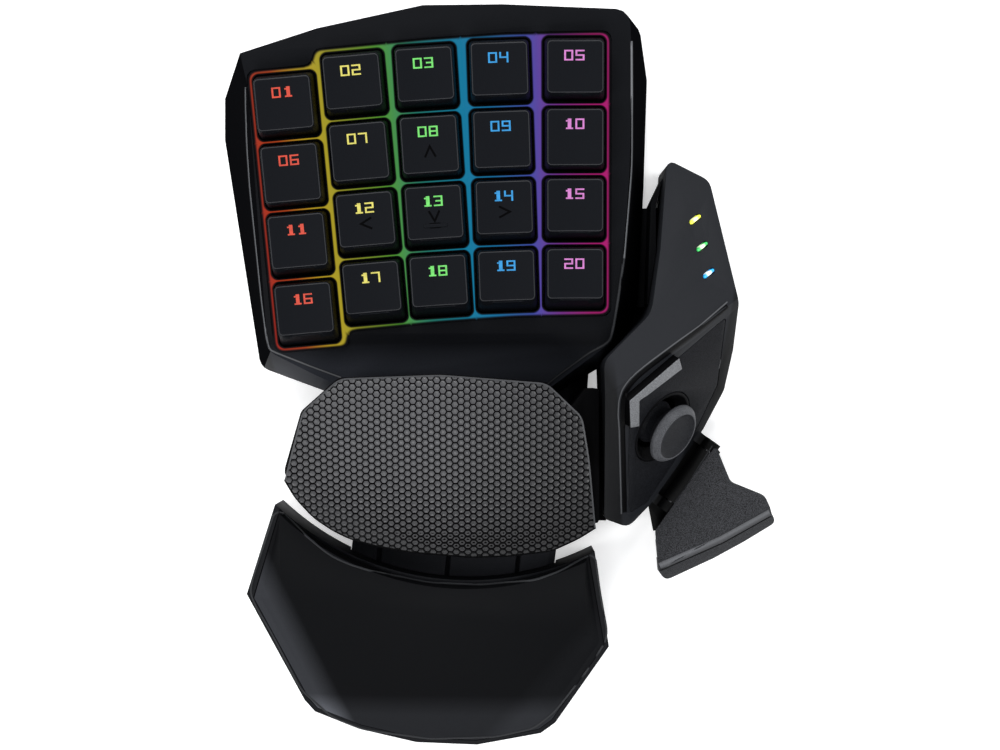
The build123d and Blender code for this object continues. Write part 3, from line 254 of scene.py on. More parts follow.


# Each look gives what differs from the plain one. The bands are in mm, in plan, and paint light and shade; a
# sheen is a painted highlight.
plainLook = {
    "shift": 0.10, "grain": 0.25 * mm, "bump": 0.10, "rough": 0.50, "gloss": 0.05, "metal": 0.0, "low": 0.3,
    "high": 0.7, "patch": 18 * mm, "depth": 0.03 * mm, "bands": (), "sheen": None}
speckle = {"grain": 0.20 * mm, "bump": 0.4, "low": 0.38, "high": 0.64}
looks = {
    # Painted shade on the cover's right wall, its two front corners and its left flank; painted light on its
    # front.
    "shell": {"colour": (0.0046, 0.0050, 0.0062), "specular": 0.035, "bands": [
        (0.25, [((1, 0), 36.9, 0.5)]), (0.35, [((0.994, -0.109), 30.0, 0.5)]), (0.35, [((-1, 0), 69.5, 0.5)]),
        (0.35, [((-0.993, -0.115), 61.9, 0.5)]), (5.0, [((0, -1), -8.0, 3.5)])]},
    # The next finish, darker and without gloss, is painted shade on the cover's steep sides.
    "wall": {"colour": (0.0026, 0.0027, 0.0032), "bump": 0.08, "rough": 0.55, "specular": 0.0},
    "wrist": {"colour": (0.0052, 0.0056, 0.0068), "specular": 0.055},
    # The next finish paints a sheen along each line's ridge, painted highlights on creases and edges.
    "shine": {"colour": (0.0050, 0.0054, 0.0066), "rough": 0.45, "specular": 0.05,
              "sheen": (0.070, 0.072, 0.076)},
    # The next two are pale line finishes, painted highlights along edges, the second dimmer.
    "rim": {"colour": (0.040, 0.041, 0.044), "shift": 0.12, "rough": 0.42, "specular": 0.20},
    "rimDark": {"colour": (0.017, 0.018, 0.020), "shift": 0.12, "rough": 0.45, "specular": 0.12},
    # The next finish, paler than the keys, is a painted highlight on the caps' top edge.
    "keyEdge": {"colour": (0.024, 0.025, 0.028), "grain": 0.20 * mm, "bump": 0.08, "rough": 0.45,
                "specular": 0.12},
    # The next finish paints a sheen on the paddle's crease, a painted highlight.
    "paddleShine": {**speckle, "colour": (0.0240, 0.0248, 0.0275), "shift": 0.60, "specular": 0.12,
                    "sheen": (0.085, 0.087, 0.092)},
    "rail": {"colour": (0.0180, 0.0190, 0.0225), "shift": 0.12, "grain": 0.30 * mm, "bump": 0.12,
             "specular": 0.06},
    "base": {"colour": (0.0035, 0.0037, 0.0044), "shift": 0.15, "grain": 0.30 * mm, "bump": 0.2, "rough": 0.6,
             "specular": 0.04},
    "key": {"colour": (0.0044, 0.0050, 0.0066), "grain": 0.20 * mm, "bump": 0.08, "rough": 0.48,
            "specular": 0.045},
    # The next finish is near-black plastic; it also paints shade on the dark plates, the button's walls and
    # the groove lines.
    "frame": {"colour": (0.0014, 0.0014, 0.0017), "shift": 0.15, "grain": 0.30 * mm, "rough": 0.45,
              "specular": 0.03},
    # Painted shade on the module's left flank, its right side and right front, and near-black in the hinge
    # channel.
    "module": {"colour": (0.0125, 0.0135, 0.0162), "shift": 0.08, "specular": 0.08, "bands": [
        (0.30, [((-0.996, -0.085), -31.6, 0.35), ((-0.872, -0.487), -28.2, 2.0)]),
        (0.35, [((0.988, -0.154), 60.6, 0.4)]), (0.35, [((0.935, -0.355), 56.5, 0.4)]),
        (0.08, [((0.8137, -0.5812), 55.5, 0.3)])]},
    # The paddle's band next to the hinge is painted near-black, painted shade of the hinge channel.
    "speckled": {**speckle, "colour": (0.0240, 0.0248, 0.0275), "shift": 0.85, "bump": 0.5, "rough": 0.55,
                 "specular": 0.10, "bands": [(0.04, [((-0.8137, 0.5812), -60.2, 0.2)])]},
    "speckledPale": {**speckle, "colour": (0.1400, 0.1440, 0.1520), "shift": 0.45, "specular": 0.20},
    "knob": {**speckle, "colour": (0.0135, 0.0142, 0.0165), "shift": 0.60, "rough": 0.55, "specular": 0.10},
    # The next finish is a pale ring, a painted highlight on the knob's rounded side.
    "knobRim": {**speckle, "colour": (0.0620, 0.0640, 0.0700), "shift": 0.50, "specular": 0.15},
    "panel": {**speckle, "colour": (0.0080, 0.0085, 0.0104), "shift": 0.80, "bump": 0.5, "rough": 0.55,
              "specular": 0.06},
    "socket": {"colour": (0.0030, 0.0030, 0.0036), "shift": 0.20, "grain": 0.30 * mm, "bump": 0.2,
               "rough": 0.55, "specular": 0.04},
    # Painted light brightens the wrist pad towards its left front, its front and its right front.
    "skin": {"colour": (0.0041, 0.0043, 0.0049), "shift": 0.08, "grain": 0.22 * mm, "bump": 0.08,
             "rough": 0.46, "specular": 0.02, "bands": [
                 (6.5, [((-0.905, -0.424), 80.4, 3.0)]), (3.2, [((0, -1), 90.5, 3.0)]),
                 (1.5, [((0.768, -0.640), 62.7, 2.5)])]},
    "sign": {"colour": (0.0012, 0.0012, 0.0014), "grain": 0.20 * mm, "bump": 0.05, "rough": 0.35,
             "specular": 0.02},
    "groove": {"colour": (0.0012, 0.0012, 0.0014), "grain": 0.30 * mm, "rough": 0.6, "specular": 0.03},
    # Painted highlight: the hexagons stay bright at the left middle of the palm rest and are painted darker
    # towards its front, its right and its far left.
    "cell": {"colour": (0.0540, 0.0542, 0.0575), "shift": 0.15, "grain": 0.15 * mm, "rough": 0.38,
             "specular": 0.34, "bands": [
                 (0.28, [((0, -1), 37.0, 13.0)]), (0.24, [((1, 0), 6.0, 22.0)]),
                 (0.60, [((-1, 0), 52.0, 12.0)])]},
    "rubber": {"colour": (0.0060, 0.0060, 0.0062), "shift": 0.20, "grain": 0.40 * mm, "bump": 0.25,
               "rough": 0.8, "specular": 0.1},
    "board": {"colour": (0.010, 0.060, 0.028), "shift": 0.20, "grain": 0.8 * mm, "rough": 0.4,
              "specular": 0.5},
    "steel": {"colour": (0.42, 0.42, 0.44), "grain": 0.5 * mm, "rough": 0.35, "specular": 0.5, "metal": 1.0},
    "plate": {"colour": (0.010, 0.010, 0.010), "shift": 0.15, "grain": 0.5 * mm, "bump": 0.15, "rough": 0.45,
              "specular": 0.2},
    "switch": {"colour": (0.010, 0.010, 0.010), "shift": 0.12, "grain": 0.3 * mm, "rough": 0.4,
               "specular": 0.2}}
finish = {name: plastic(name + ("Metal" if "metal" in look else "Plastic"), {**plainLook, **look})
          for name, look in looks.items()}

# The fan of key columns, in mm, and the colours of the lit layer from its left to its right edge
rainbow = {
    "left": -68.9, "leftSlope": -0.135, "width": 96.5, "widthSlope": 0.125, "middle": 55.5, "strength": 0.58,
    "base": (0.004, 0.004, 0.005, 1), "specular": 0.03, "rough": 0.5,
    "stops": [(0.02, (0.62, 0.030, 0.015)), (0.11, (0.72, 0.10, 0.02)), (0.185, (0.85, 0.58, 0.03)),
              (0.29, (0.45, 0.48, 0.04)), (0.40, (0.14, 0.52, 0.05)), (0.50, (0.03, 0.33, 0.25)),
              (0.60, (0.01, 0.33, 0.55)), (0.70, (0.015, 0.27, 0.60)), (0.80, (0.09, 0.13, 0.66)),
              (0.89, (0.32, 0.05, 0.42)), (0.985, (0.68, 0.02, 0.26))]}


def rainbowMaterial(settings):
    material, tree, shader, place = startMaterial("lightGuideGlow")
    parts = addNode(tree, "ShaderNodeSeparateXYZ", {0: place}).outputs

    def line(base, slope):
        # base + slope * (y - middle), in metres
        return mathNode(tree, "MULTIPLY_ADD", parts["Y"], slope, (base - slope * settings["middle"]) * mm)

    across = mathNode(tree, "SUBTRACT", parts["X"], line(settings["left"], settings["leftSlope"]))
    share = mathNode(tree, "DIVIDE", across, line(settings["width"], settings["widthSlope"]))
    ridge = addNode(tree, "ShaderNodeAttribute", attribute_name="ridge").outputs["Fac"]
    feed(tree, shader, {
        "Emission Color": rampNode(tree, share, settings["stops"]),
        "Emission Strength": rangeNode(tree, ridge, 0.0, settings["strength"]),
        "Base Color": settings["base"], "Specular IOR Level": settings["specular"],
        "Roughness": settings["rough"]})
    return material


finish["rainbow"] = rainbowMaterial(rainbow)
print("materials ready,", len(finish))


# Mesh helpers
def link(mesh, name):
    piece = bpy.data.objects.new(name, mesh)
    bpy.context.scene.collection.objects.link(piece)
    return piece


def markSharp(mesh, angle):
    # Smooth shading that breaks at edges sharper than the angle.
    bm = bmesh.new()
    bm.from_mesh(mesh)
    limit = math.radians(angle)
    for face in bm.faces:
        face.smooth = True
    for edge in bm.edges:
        edge.smooth = len(edge.link_faces) == 2 and edge.calc_face_angle(0) < limit
    bm.to_mesh(mesh)
    bm.free()


smoothTo = 50  # degrees


def pieceFrom(bm, name, sharp=None, outward=False):
    if outward:
        bmesh.ops.recalc_face_normals(bm, faces=bm.faces)
    mesh = bpy.data.meshes.new(name)
    bm.to_mesh(mesh)
    bm.free()
    if sharp:
        markSharp(mesh, sharp)
    return link(mesh, name)


def keepResult(piece):
    # The mesh that the modifiers make takes the place of the piece's own.
    made = bpy.data.meshes.new_from_object(piece.evaluated_get(bpy.context.evaluated_depsgraph_get()))
    piece.modifiers.clear()
    piece.data = made


softEdge = {"merge": 1e-6, "flat": 1.0, "segments": 3, "angle": 28, "sharp": 35}


def softCopy(node, name, width=0.4):
    # A merged copy of a CAD node with its hard edges rounded.
    mesh = nodes[node].data.copy()
    mesh.name = name
    mesh.materials.clear()
    bm = bmesh.new()
    bm.from_mesh(mesh)
    bmesh.ops.remove_doubles(bm, verts=bm.verts, dist=softEdge["merge"])
    flat = math.radians(softEdge["flat"])
    bmesh.ops.dissolve_limit(bm, angle_limit=flat, verts=bm.verts, edges=bm.edges)
    bm.to_mesh(mesh)
    bm.free()
    piece = link(mesh, name)
    if width:
        bevel = piece.modifiers.new("softEdge", "BEVEL")
        bevel.width = width * mm
        bevel.segments = softEdge["segments"]
        bevel.limit_method = "ANGLE"
        bevel.angle_limit = math.radians(softEdge["angle"])
        bevel.use_clamp_overlap = True
        bevel.miter_outer = "MITER_ARC"
        keepResult(piece)
    markSharp(piece.data, softEdge["sharp"])
    return piece


def dress(piece, node, *materials):
    # The piece takes its finish, and moves in the node's body.
    for material in materials:
        piece.data.materials.append(material)
    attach(piece, bodyOf[node])
    return piece


def settle(piece, node, *materials):
    # The piece stands for its node as well.
    if piece.data.materials:
        piece.data.materials.clear()
    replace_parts(dress(piece, node, *materials), node)


def turns(count):
    return [math.tau * k / count for k in range(count)]


def roundedRing(width, length, corner, steps=4, shift=(0, 0), between=0):
    # A rounded rectangle, counter-clockwise, with extra points along its straight sides where asked.
    arcs = []
    for sx, sy, start in ((1, 1, 0), (-1, 1, 90), (-1, -1, 180), (1, -1, 270)):
        arcs.append([])
        for i in range(steps + 1):
            angle = math.radians(start + 90 * i / steps)
            arcs[-1].append((shift[0] + sx * (width / 2 - corner) + corner * math.cos(angle),
                             shift[1] + sy * (length / 2 - corner) + corner * math.sin(angle)))
    points = []
    for i, arc in enumerate(arcs):
        points += arc
        (ax, ay), (bx, by) = arc[-1], arcs[(i + 1) % 4][0]
        points += [(ax + (bx - ax) * k / (between + 1), ay + (by - ay) * k / (between + 1))
                   for k in range(1, between + 1)]
    return points


def skin(bm, rings, closeFirst=False, closeLast=False):
    # Quads between rings of equal count. The rings turn counter-clockwise and go outwards or up.
    rows = [[bm.verts.new(point) for point in ring] for ring in rings]
    count = len(rows[0])
    for low, high in zip(rows, rows[1:]):
        for i in range(count):
            j = (i + 1) % count
            bm.faces.new((low[i], low[j], high[j], high[i]))
    if closeFirst:
        bm.faces.new(list(reversed(rows[0])))
    if closeLast:
        bm.faces.new(rows[-1])
    return rows


def insetOutline(points, depth):
    moved = []
    for i in range(len(points)):
        a, b, c = (Vector(points[k % len(points)]) for k in (i - 1, i, i + 1))
        u, v = (b - a).normalized(), (c - b).normalized()
        half = 1 + u.dot(v)
        moved.append((b.x - depth * (u.y + v.y) / half, b.y + depth * (u.x + v.x) / half))
    return moved


bend = {"steps": 5, "share": 0.45}  # a corner takes up at most this share of the sides beside it


def tracePath(points, radius, closed, step=1.2):
    # The polyline with its corners rounded and its long sides cut into short steps, in mm.
    spots = [Vector(p) for p in points]
    count = len(spots)
    path = []
    for i, spot in enumerate(spots):
        if not closed and i in (0, count - 1):
            path.append(spot)
            continue
        before, after = spots[i - 1] - spot, spots[(i + 1) % count] - spot
        reach = min(radius, before.length * bend["share"], after.length * bend["share"])
        start, end = spot + before.normalized() * reach, spot + after.normalized() * reach
        path += [start * (1 - t) ** 2 + spot * 2 * t * (1 - t) + end * t * t
                 for t in [k / bend["steps"] for k in range(bend["steps"] + 1)]]
    full = []
    for i in range(len(path) if closed else len(path) - 1):
        a, b = path[i], path[(i + 1) % len(path)]
        parts = max(1, math.ceil((b - a).length / step))
        full += [a + (b - a) * k / parts for k in range(parts)]
    return full if closed else full + [path[-1]]


surfaces = {}
rayFrom = 100 * mm  # well above every piece


def surfaceHeight(targets, spot):
    # Height of the nodes' upper surface at a place in plan, in mm.
    best = None
    for target in targets:
        if target not in surfaces:
            mesh = nodes[target].data
            surfaces[target] = BVHTree.FromPolygons([v.co for v in mesh.vertices],
                                                    [tuple(f.vertices) for f in mesh.polygons])
        above = Vector((spot.x * mm, spot.y * mm, rayFrom))
        hit = surfaces[target].ray_cast(above, Vector((0, 0, -1)))[0]
        if hit is not None and (best is None or hit.z / mm > best):
            best = hit.z / mm
    return best


def surfaceLine(name, targets, points, width, look, levels=(0, 1, 0), radius=1.0, closed=False, rise=0.05,
                arch=0.04, sink=0.3, slack=0.8, leap=0.2, bead=False):
    # A fine raised line that follows the surface of its nodes along a path drawn in plan. The lines paint
    # highlights and shade along edges and grooves; the ridge attribute sets how strong a painted sheen is.
    path = tracePath(points, radius, closed)
    count, columns = len(path), len(levels)
    bm = bmesh.new()
    ridge = bm.verts.layers.float.new("ridge")
    rings = []
    middles = [surfaceHeight(targets, spot) for spot in path]
    level = next(height for height in middles if height is not None)
    for i, spot in enumerate(path):
        ahead = path[(i + 1) % count] if closed or i < count - 1 else spot
        behind = path[i - 1] if closed or i else spot
        along = (ahead - behind).normalized()
        side = Vector((-along.y, along.x))
        level = middles[i] if middles[i] is not None else level
        top = []
        for k, value in enumerate(levels):
            place = spot + side * width * (k / (columns - 1) - 0.5)
            height = surfaceHeight(targets, place)
            if height is None or abs(height - level) > slack * width + leap:
                height = level
            top.append((place.x, place.y, height + rise + arch * value, value))
        low = min(point[2] for point in top) - rise - sink
        if bead:
            crest = max(point[2] for point in top)
            top = [(x, y, crest + arch * value, value) for x, y, _, value in top]
        ring = []
        for x, y, z, value in [(*top[0][:2], low, 0)] + top + [(*top[-1][:2], low, 0)]:
            vertex = bm.verts.new(Vector((x, y, z)) * mm)
            vertex[ridge] = value
            ring.append(vertex)
        rings.append(ring)
    size = columns + 2
    for i in range(count if closed else count - 1):
        a, b = rings[i], rings[(i + 1) % count]
        for k in range(size):
            m = (k + 1) % size
            bm.faces.new((a[k], a[m], b[m], b[k]))
    if not closed:
        bm.faces.new(rings[0])
        bm.faces.new(list(reversed(rings[-1])))
    dress(pieceFrom(bm, name, smoothTo, outward=True), targets[0], finish[look])


def lathe(bm, profile, matrix, segments=64):
    # Turned form from a profile of radii and heights that starts and ends on the axis.
    rings = []
    for r, z in profile[1:-1]:
        rings.append([bm.verts.new(matrix @ (Vector((r * math.cos(a), r * math.sin(a), z)) * mm))
                      for a in turns(segments)])
    after = [(i + 1) % segments for i in range(segments)]
    made = []
    for low, high in zip(rings, rings[1:]):
        made.append([bm.faces.new((low[i], high[i], high[j], low[j])) for i, j in enumerate(after)])
    for ring, spot in ((rings[0], profile[0]), (rings[-1], profile[-1])):
        centre = bm.verts.new(matrix @ (Vector((0, 0, spot[1])) * mm))
        made.append([bm.faces.new((ring[i], ring[j], centre)) for i, j in enumerate(after)])
    return made


def frameMatrix(origin, x, y, z):
    return Matrix(((x[0], y[0], z[0], origin[0] * mm), (x[1], y[1], z[1], origin[1] * mm),
                   (x[2], y[2], z[2], origin[2] * mm), (0, 0, 0, 1)))


def prismOn(bm, matrix, points, low, high):
    # Upright prism on a plane, its outline counter-clockwise, in mm.
    rings = [[matrix @ (Vector((x, y, z)) * mm) for x, y in points] for z in (low, high)]
    skin(bm, rings, closeFirst=True, closeLast=True)


# Keycaps, in the fan of columns on the sloped deck
keyBlock = {
    "origin": (-17.62125, 55.4736, 36.0), "tilt": 6.0, "pitch": 19.05, "rowPitch": 18.8595,
    "columnX": (-1.95, -0.985, -0.005, 1.0, 2.015), "columnY": (-0.41, -0.105, -0.007, 0.067, 0.097),
    "lean": (5.1, 5.0, 3.7, 2.0, 0.2)}
cap = {
    "base": (16.5, 17.2), "skirt": -1.6, "topWidth": 15.3, "topLengths": (14.2, 15.3, 14.4, 13.7),
    "heights": (8.4, 7.6, 7.2, 7.6), "shifts": (0.5, 0.6, 1.2, 1.6), "corner": 1.3, "edge": 0.42,
    "dishRadius": 42.0, "dishDepth": 0.5, "dishDrop": 0.12, "wall": 1.3, "ceiling": 1.5, "edgeHighlightBand": 8,
    "flanks": ((0, 0.25), (0.03, 0), (0.5, 0.03), (0.9, 0.02)), "topInsets": (1.2, 2.4, 3.6, 4.8, 6.0),
    "bevelAngles": (0, 30, 60), "leastCorner": 0.15, "cornerSteps": 5, "sidePoints": 7}
post = {"radius": 2.6, "sides": 16, "levels": ((0.9, -0.8), (1, -0.6)), "lap": 0.1}
slider = {"size": (6.6, 5.3), "corner": 0.4, "levels": ((0.94, -7.0), (1, -6.8), (1, -1.0), (0.96, -0.8))}
legend = {"cell": (0.48, 0.40), "columns": 5, "rows": 7, "gap": 0.62, "fromBack": 4.1, "left": -0.25,
          "proud": 0.03, "sink": 0.25, "strength": 0.62}
legendColours = ((0.80, 0.075, 0.035), (0.88, 0.80, 0.16), (0.20, 0.85, 0.17), (0.025, 0.36, 0.82),
                 (0.75, 0.24, 0.68))
digitRows = {
    "0": "11111 10001 10001 10001 10001 10001 11111", "1": "00110 01110 00110 00110 00110 00110 01111",
    "2": "11111 00001 00001 11111 10000 10000 11111", "3": "11111 00001 00001 01111 00001 00001 11111",
    "4": "10001 10001 10001 11111 00001 00001 00001", "5": "11111 10000 10000 11111 00001 00001 11111",
    "6": "11111 10000 10000 11111 10001 10001 11111", "7": "11111 00001 00001 00001 00001 00001 00001",
    "8": "11111 10001 10001 11111 10001 10001 11111", "9": "11111 10001 10001 11111 00001 00001 11111"}


def deckMatrix():
    tilt = Matrix.Rotation(math.radians(keyBlock["tilt"]), 4, "X")
    return Matrix.Translation(Vector(keyBlock["origin"]) * mm) @ tilt


def keyMatrix(column, row):
    lean = math.radians(keyBlock["lean"][column])
    along = (1.5 - row) * keyBlock["rowPitch"]
    x = keyBlock["columnX"][column] * keyBlock["pitch"] - along * math.sin(lean)
    y = keyBlock["columnY"][column] * keyBlock["pitch"] + along * math.cos(lean)
    return deckMatrix() @ Matrix.Translation((x * mm, y * mm, 0)) @ Matrix.Rotation(lean, 4, "Z")


def dishHeight(x, y, row):
    # Height of the cap's top surface, a shallow trough across the key.
    radius = cap["dishRadius"]
    trough = radius - math.sqrt(radius * radius - x * x)
    return cap["heights"][row] - cap["dishDepth"] + trough - cap["dishDrop"]


def makeKeycap(column, row):
    shift = cap["shifts"][row]
    height = cap["heights"][row]
    edge = cap["edge"]
    topSize = (cap["topWidth"], cap["topLengths"][row])

    def ring(share, inset=0.0):
        # Outline of the cap at a share of its height.
        width, length = [low + (high - low) * share - 2 * inset for low, high in zip(cap["base"], topSize)]
        corner = max(cap["corner"] - inset, cap["leastCorner"])
        points = roundedRing(width, length, corner, cap["cornerSteps"], (0, shift * share), cap["sidePoints"])
        level = cap["skirt"] + (height - cap["skirt"]) * share
        return [(x, y, level) for x, y in points]

    def topRing(inset, drop):
        return [(x, y, dishHeight(x, y, row) - drop) for x, y, z in ring(1, inset)]

    ceiling = height - cap["ceiling"]
    rings = [[(x, y, ceiling) for x, y, z in ring(1, cap["wall"])], ring(0, cap["wall"])]
    rings += [ring(share, inset) for share, inset in cap["flanks"]]
    for angle in cap["bevelAngles"]:
        a = math.radians(angle)
        rings.append(topRing(edge * (1 - math.cos(a)), edge * (1 - math.sin(a))))
    rings += [topRing(inset, 0) for inset in (edge, *cap["topInsets"])]
    bm = bmesh.new()
    rows = skin(bm, [[Vector(p) * mm for p in r] for r in rings], closeFirst=True)
    bm.faces.ensure_lookup_table()
    around = len(rows[0])
    # The ring at the top edge takes the paler finish, a painted highlight along the cap's rounded edge.
    for face in bm.faces[cap["edgeHighlightBand"] * around:(cap["edgeHighlightBand"] + 1) * around]:
        face.material_index = 1
    centre = bm.verts.new(Vector((0, shift, dishHeight(0, 0, row))) * mm)
    last = rows[-1]
    for i in range(around):
        bm.faces.new((last[i], last[(i + 1) % around], centre))
    skin(bm, [[Vector((post["radius"] * s * math.cos(a), post["radius"] * s * math.sin(a), z)) * mm
               for a in turns(post["sides"])] for s, z in (*post["levels"], (1, ceiling + post["lap"]))],
         closeFirst=True, closeLast=True)
    width, length = slider["size"]
    skin(bm, [[Vector((x, y, z)) * mm for x, y in roundedRing(width * s, length * s, slider["corner"], 2)]
              for s, z in slider["levels"]], closeFirst=True, closeLast=True)
    bm.transform(keyMatrix(column, row))
    return pieceFrom(bm, "cap%02d" % (row * 5 + column + 1), smoothTo)


def thicken(bm, faces, depth):
    # Gives a flat sign a body that reaches down into the cap.
    walls = bmesh.ops.extrude_face_region(bm, geom=faces, use_keep_orig=True)
    lowered = [v for v in walls["geom"] if isinstance(v, bmesh.types.BMVert)]
    bmesh.ops.translate(bm, verts=lowered, vec=(0, 0, -depth * mm))


def makeLegend(column, row, text):
    # Squared numerals of equal cells, standing a hair above the dish.
    wide, high = legend["cell"]
    step = legend["columns"] * wide + legend["gap"]
    width = len(text) * step - legend["gap"]
    back = cap["shifts"][row] + cap["topLengths"][row] / 2 - legend["fromBack"] + legend["rows"] * high / 2
    bm = bmesh.new()
    for place, digit in enumerate(text):
        left = legend["left"] - width / 2 + place * step
        corner = {}
        faces = []

        def point(i, j, digitLeft=left, known=corner):
            if (i, j) not in known:
                x, y = digitLeft + i * wide, back - j * high
                known[(i, j)] = bm.verts.new(Vector((x, y, dishHeight(x, y, row) + legend["proud"])) * mm)
            return known[(i, j)]

        for j, line in enumerate(digitRows[digit].split()):
            for i, cell in enumerate(line):
                if cell == "1":
                    spots = (point(i, j + 1), point(i + 1, j + 1), point(i + 1, j), point(i, j))
                    faces.append(bm.faces.new(spots))
        thicken(bm, faces, legend["sink"])
    bmesh.ops.recalc_face_normals(bm, faces=bm.faces)
    bm.transform(keyMatrix(column, row))
    return pieceFrom(bm, "legend%02d" % (row * 5 + column + 1))


signs = {  # arrow signs under four of the numerals
    8: {"points": ((-1.45, -1.45), (0, 1.45), (1.45, -1.45)), "centre": (0, -1.9)},
    12: {"points": ((1.45, 1.5), (-1.45, 0), (1.45, -1.5)), "centre": (0.1, -1.1)},
    13: {"points": ((-1.45, 1.4), (0, -1.4), (1.45, 1.4)), "centre": (0, -0.9)},
    14: {"points": ((-1.45, 1.5), (1.45, 0), (-1.45, -1.5)), "centre": (0, -1.2)}}
signStroke = {"width": 0.55, "proud": 0.02, "sink": 0.2}
homingBar = {
    "key": 13, "width": 6.6, "length": 0.95, "height": 0.30, "centre": (0.2, -3.5), "line": 0.28,
    "lineHeight": 0.03, "sink": 0.3, "corner": 0.3, "cornerShare": 2.2, "sharp": 60,
    "edge": ((0, 0.5), (0.06, 0.85), (0.18, 1), (0.4, 1))}  # inset and share of the height


def makeSign(number, settings):
    row, column = divmod(number - 1, 5)
    a, b, c = (Vector(p) for p in settings["points"])
    first, second = (b - a).normalized(), (c - b).normalized()
    left, right = Vector((-first.y, first.x)), Vector((-second.y, second.x))
    half = signStroke["width"] / 2
    mitre = (left + right).normalized() * (half / (left + right).normalized().dot(left))
    bm = bmesh.new()
    verts = []
    for spot, side in ((a, left * half), (b, mitre), (c, right * half)):
        spots = [(p.x + settings["centre"][0], p.y + settings["centre"][1] + cap["shifts"][row])
                 for p in (spot + side, spot - side)]
        verts.append([bm.verts.new(Vector((x, y, dishHeight(x, y, row) + signStroke["proud"])) * mm)
                      for x, y in spots])
    faces = [bm.faces.new((verts[i][0], verts[i][1], verts[i + 1][1], verts[i + 1][0])) for i in (0, 1)]
    thicken(bm, faces, signStroke["sink"])
    bmesh.ops.recalc_face_normals(bm, faces=bm.faces)
    bm.transform(keyMatrix(column, row))
    dress(pieceFrom(bm, "sign%02d" % number), "keycap_%02d" % number, finish["sign"])


def makeHomingBar(settings):
    # A low rounded bar with a dark line round it, painted shade of the groove at its foot.
    row, column = divmod(settings["key"] - 1, 5)
    centre = (settings["centre"][0], settings["centre"][1] + cap["shifts"][row])
    level = dishHeight(centre[0], centre[1], row)
    for name, grow, rise, look in (("homingLine", settings["line"], settings["lineHeight"], "sign"),
                                   ("homingBar", 0.0, settings["height"], "key")):
        rings = []
        steps = [(0, -settings["sink"])] + [(inset, rise * share) for inset, share in settings["edge"]]
        for inset, z in steps:
            width, length = [settings[side] + 2 * (grow - inset) for side in ("width", "length")]
            corner = min(settings["corner"], length / settings["cornerShare"])
            outline = roundedRing(width, length, corner, 3, centre)
            rings.append([Vector((x, y, level + z)) * mm for x, y in outline])
        bm = bmesh.new()
        skin(bm, rings, closeFirst=True, closeLast=True)
        bm.transform(keyMatrix(column, row))
        dress(pieceFrom(bm, name, settings["sharp"]), "keycap_%02d" % settings["key"], finish[look])


legendFinish = [litMaterial("legendGlow%d" % (i + 1), colour, legend["strength"])
                for i, colour in enumerate(legendColours)]
for row in range(4):
    for column in range(5):
        number = row * 5 + column + 1
        node = "keycap_%02d" % number
        settle(makeKeycap(column, row), node, finish["key"], finish["keyEdge"])
        dress(makeLegend(column, row, "%02d" % number), node, legendFinish[column])
for number, settings in signs.items():
    makeSign(number, settings)
makeHomingBar(homingBar)
print("keycaps ready")


# Lit layer between the keys: full where it lies between two wells, fading towards the rim of the block
litLayer = {
    "well": (17.1, 17.8), "corner": 1.7, "top": -0.3, "bottom": -1.7, "steps": 14, "between": 10, "across": 9,
    "reach": 4.0, "halvings": 14, "point": 0.001, "start": 0.26, "full": 0.32, "margin": 0.30, "fade": 0.70,
    "crown": 0.25, "lap": 0.16, "round": 3.2,
    "outline": ((48.20, 40.47), (19.69, 39.91), (-2.59, 38.38), (-32.04, 35.57), (-33.24, 31.28),
                (-50.49, 29.74), (-43.63, -47.13), (-23.81, -45.36), (-23.13, -41.12), (2.40, -38.64),
                (22.39, -37.22), (48.47, -36.71))}
litOutline = tracePath(litLayer["outline"], litLayer["round"], True, 100)


def wellDistance(x, y, column, row):
    # Distance from a point of the deck to the rounded outline of one well.
    inverse = keyMatrix(column, row).inverted() @ deckMatrix()
    local = inverse @ Vector((x * mm, y * mm, 0))
    dx = abs(local.x / mm) - litLayer["well"][0] / 2 + litLayer["corner"]
    dy = abs(local.y / mm) - litLayer["well"][1] / 2 + litLayer["corner"]
    return math.hypot(max(dx, 0), max(dy, 0)) + min(max(dx, dy), 0) - litLayer["corner"]


def outlineDistance(x, y):
    # Distance inside the outline of the lit block, negative outside it.
    points = litOutline
    best, inside = 1e9, False
    for i, (ax, ay) in enumerate(points):
        bx, by = points[(i + 1) % len(points)]
        share = ((x - ax) * (bx - ax) + (y - ay) * (by - ay)) / ((bx - ax) ** 2 + (by - ay) ** 2)
        share = min(max(share, 0), 1)
        best = min(best, math.hypot(x - ax - share * (bx - ax), y - ay - share * (by - ay)))
        if (ay > y) != (by > y) and x < ax + (bx - ax) * (y - ay) / (by - ay):
            inside = not inside
    return best if inside else -best


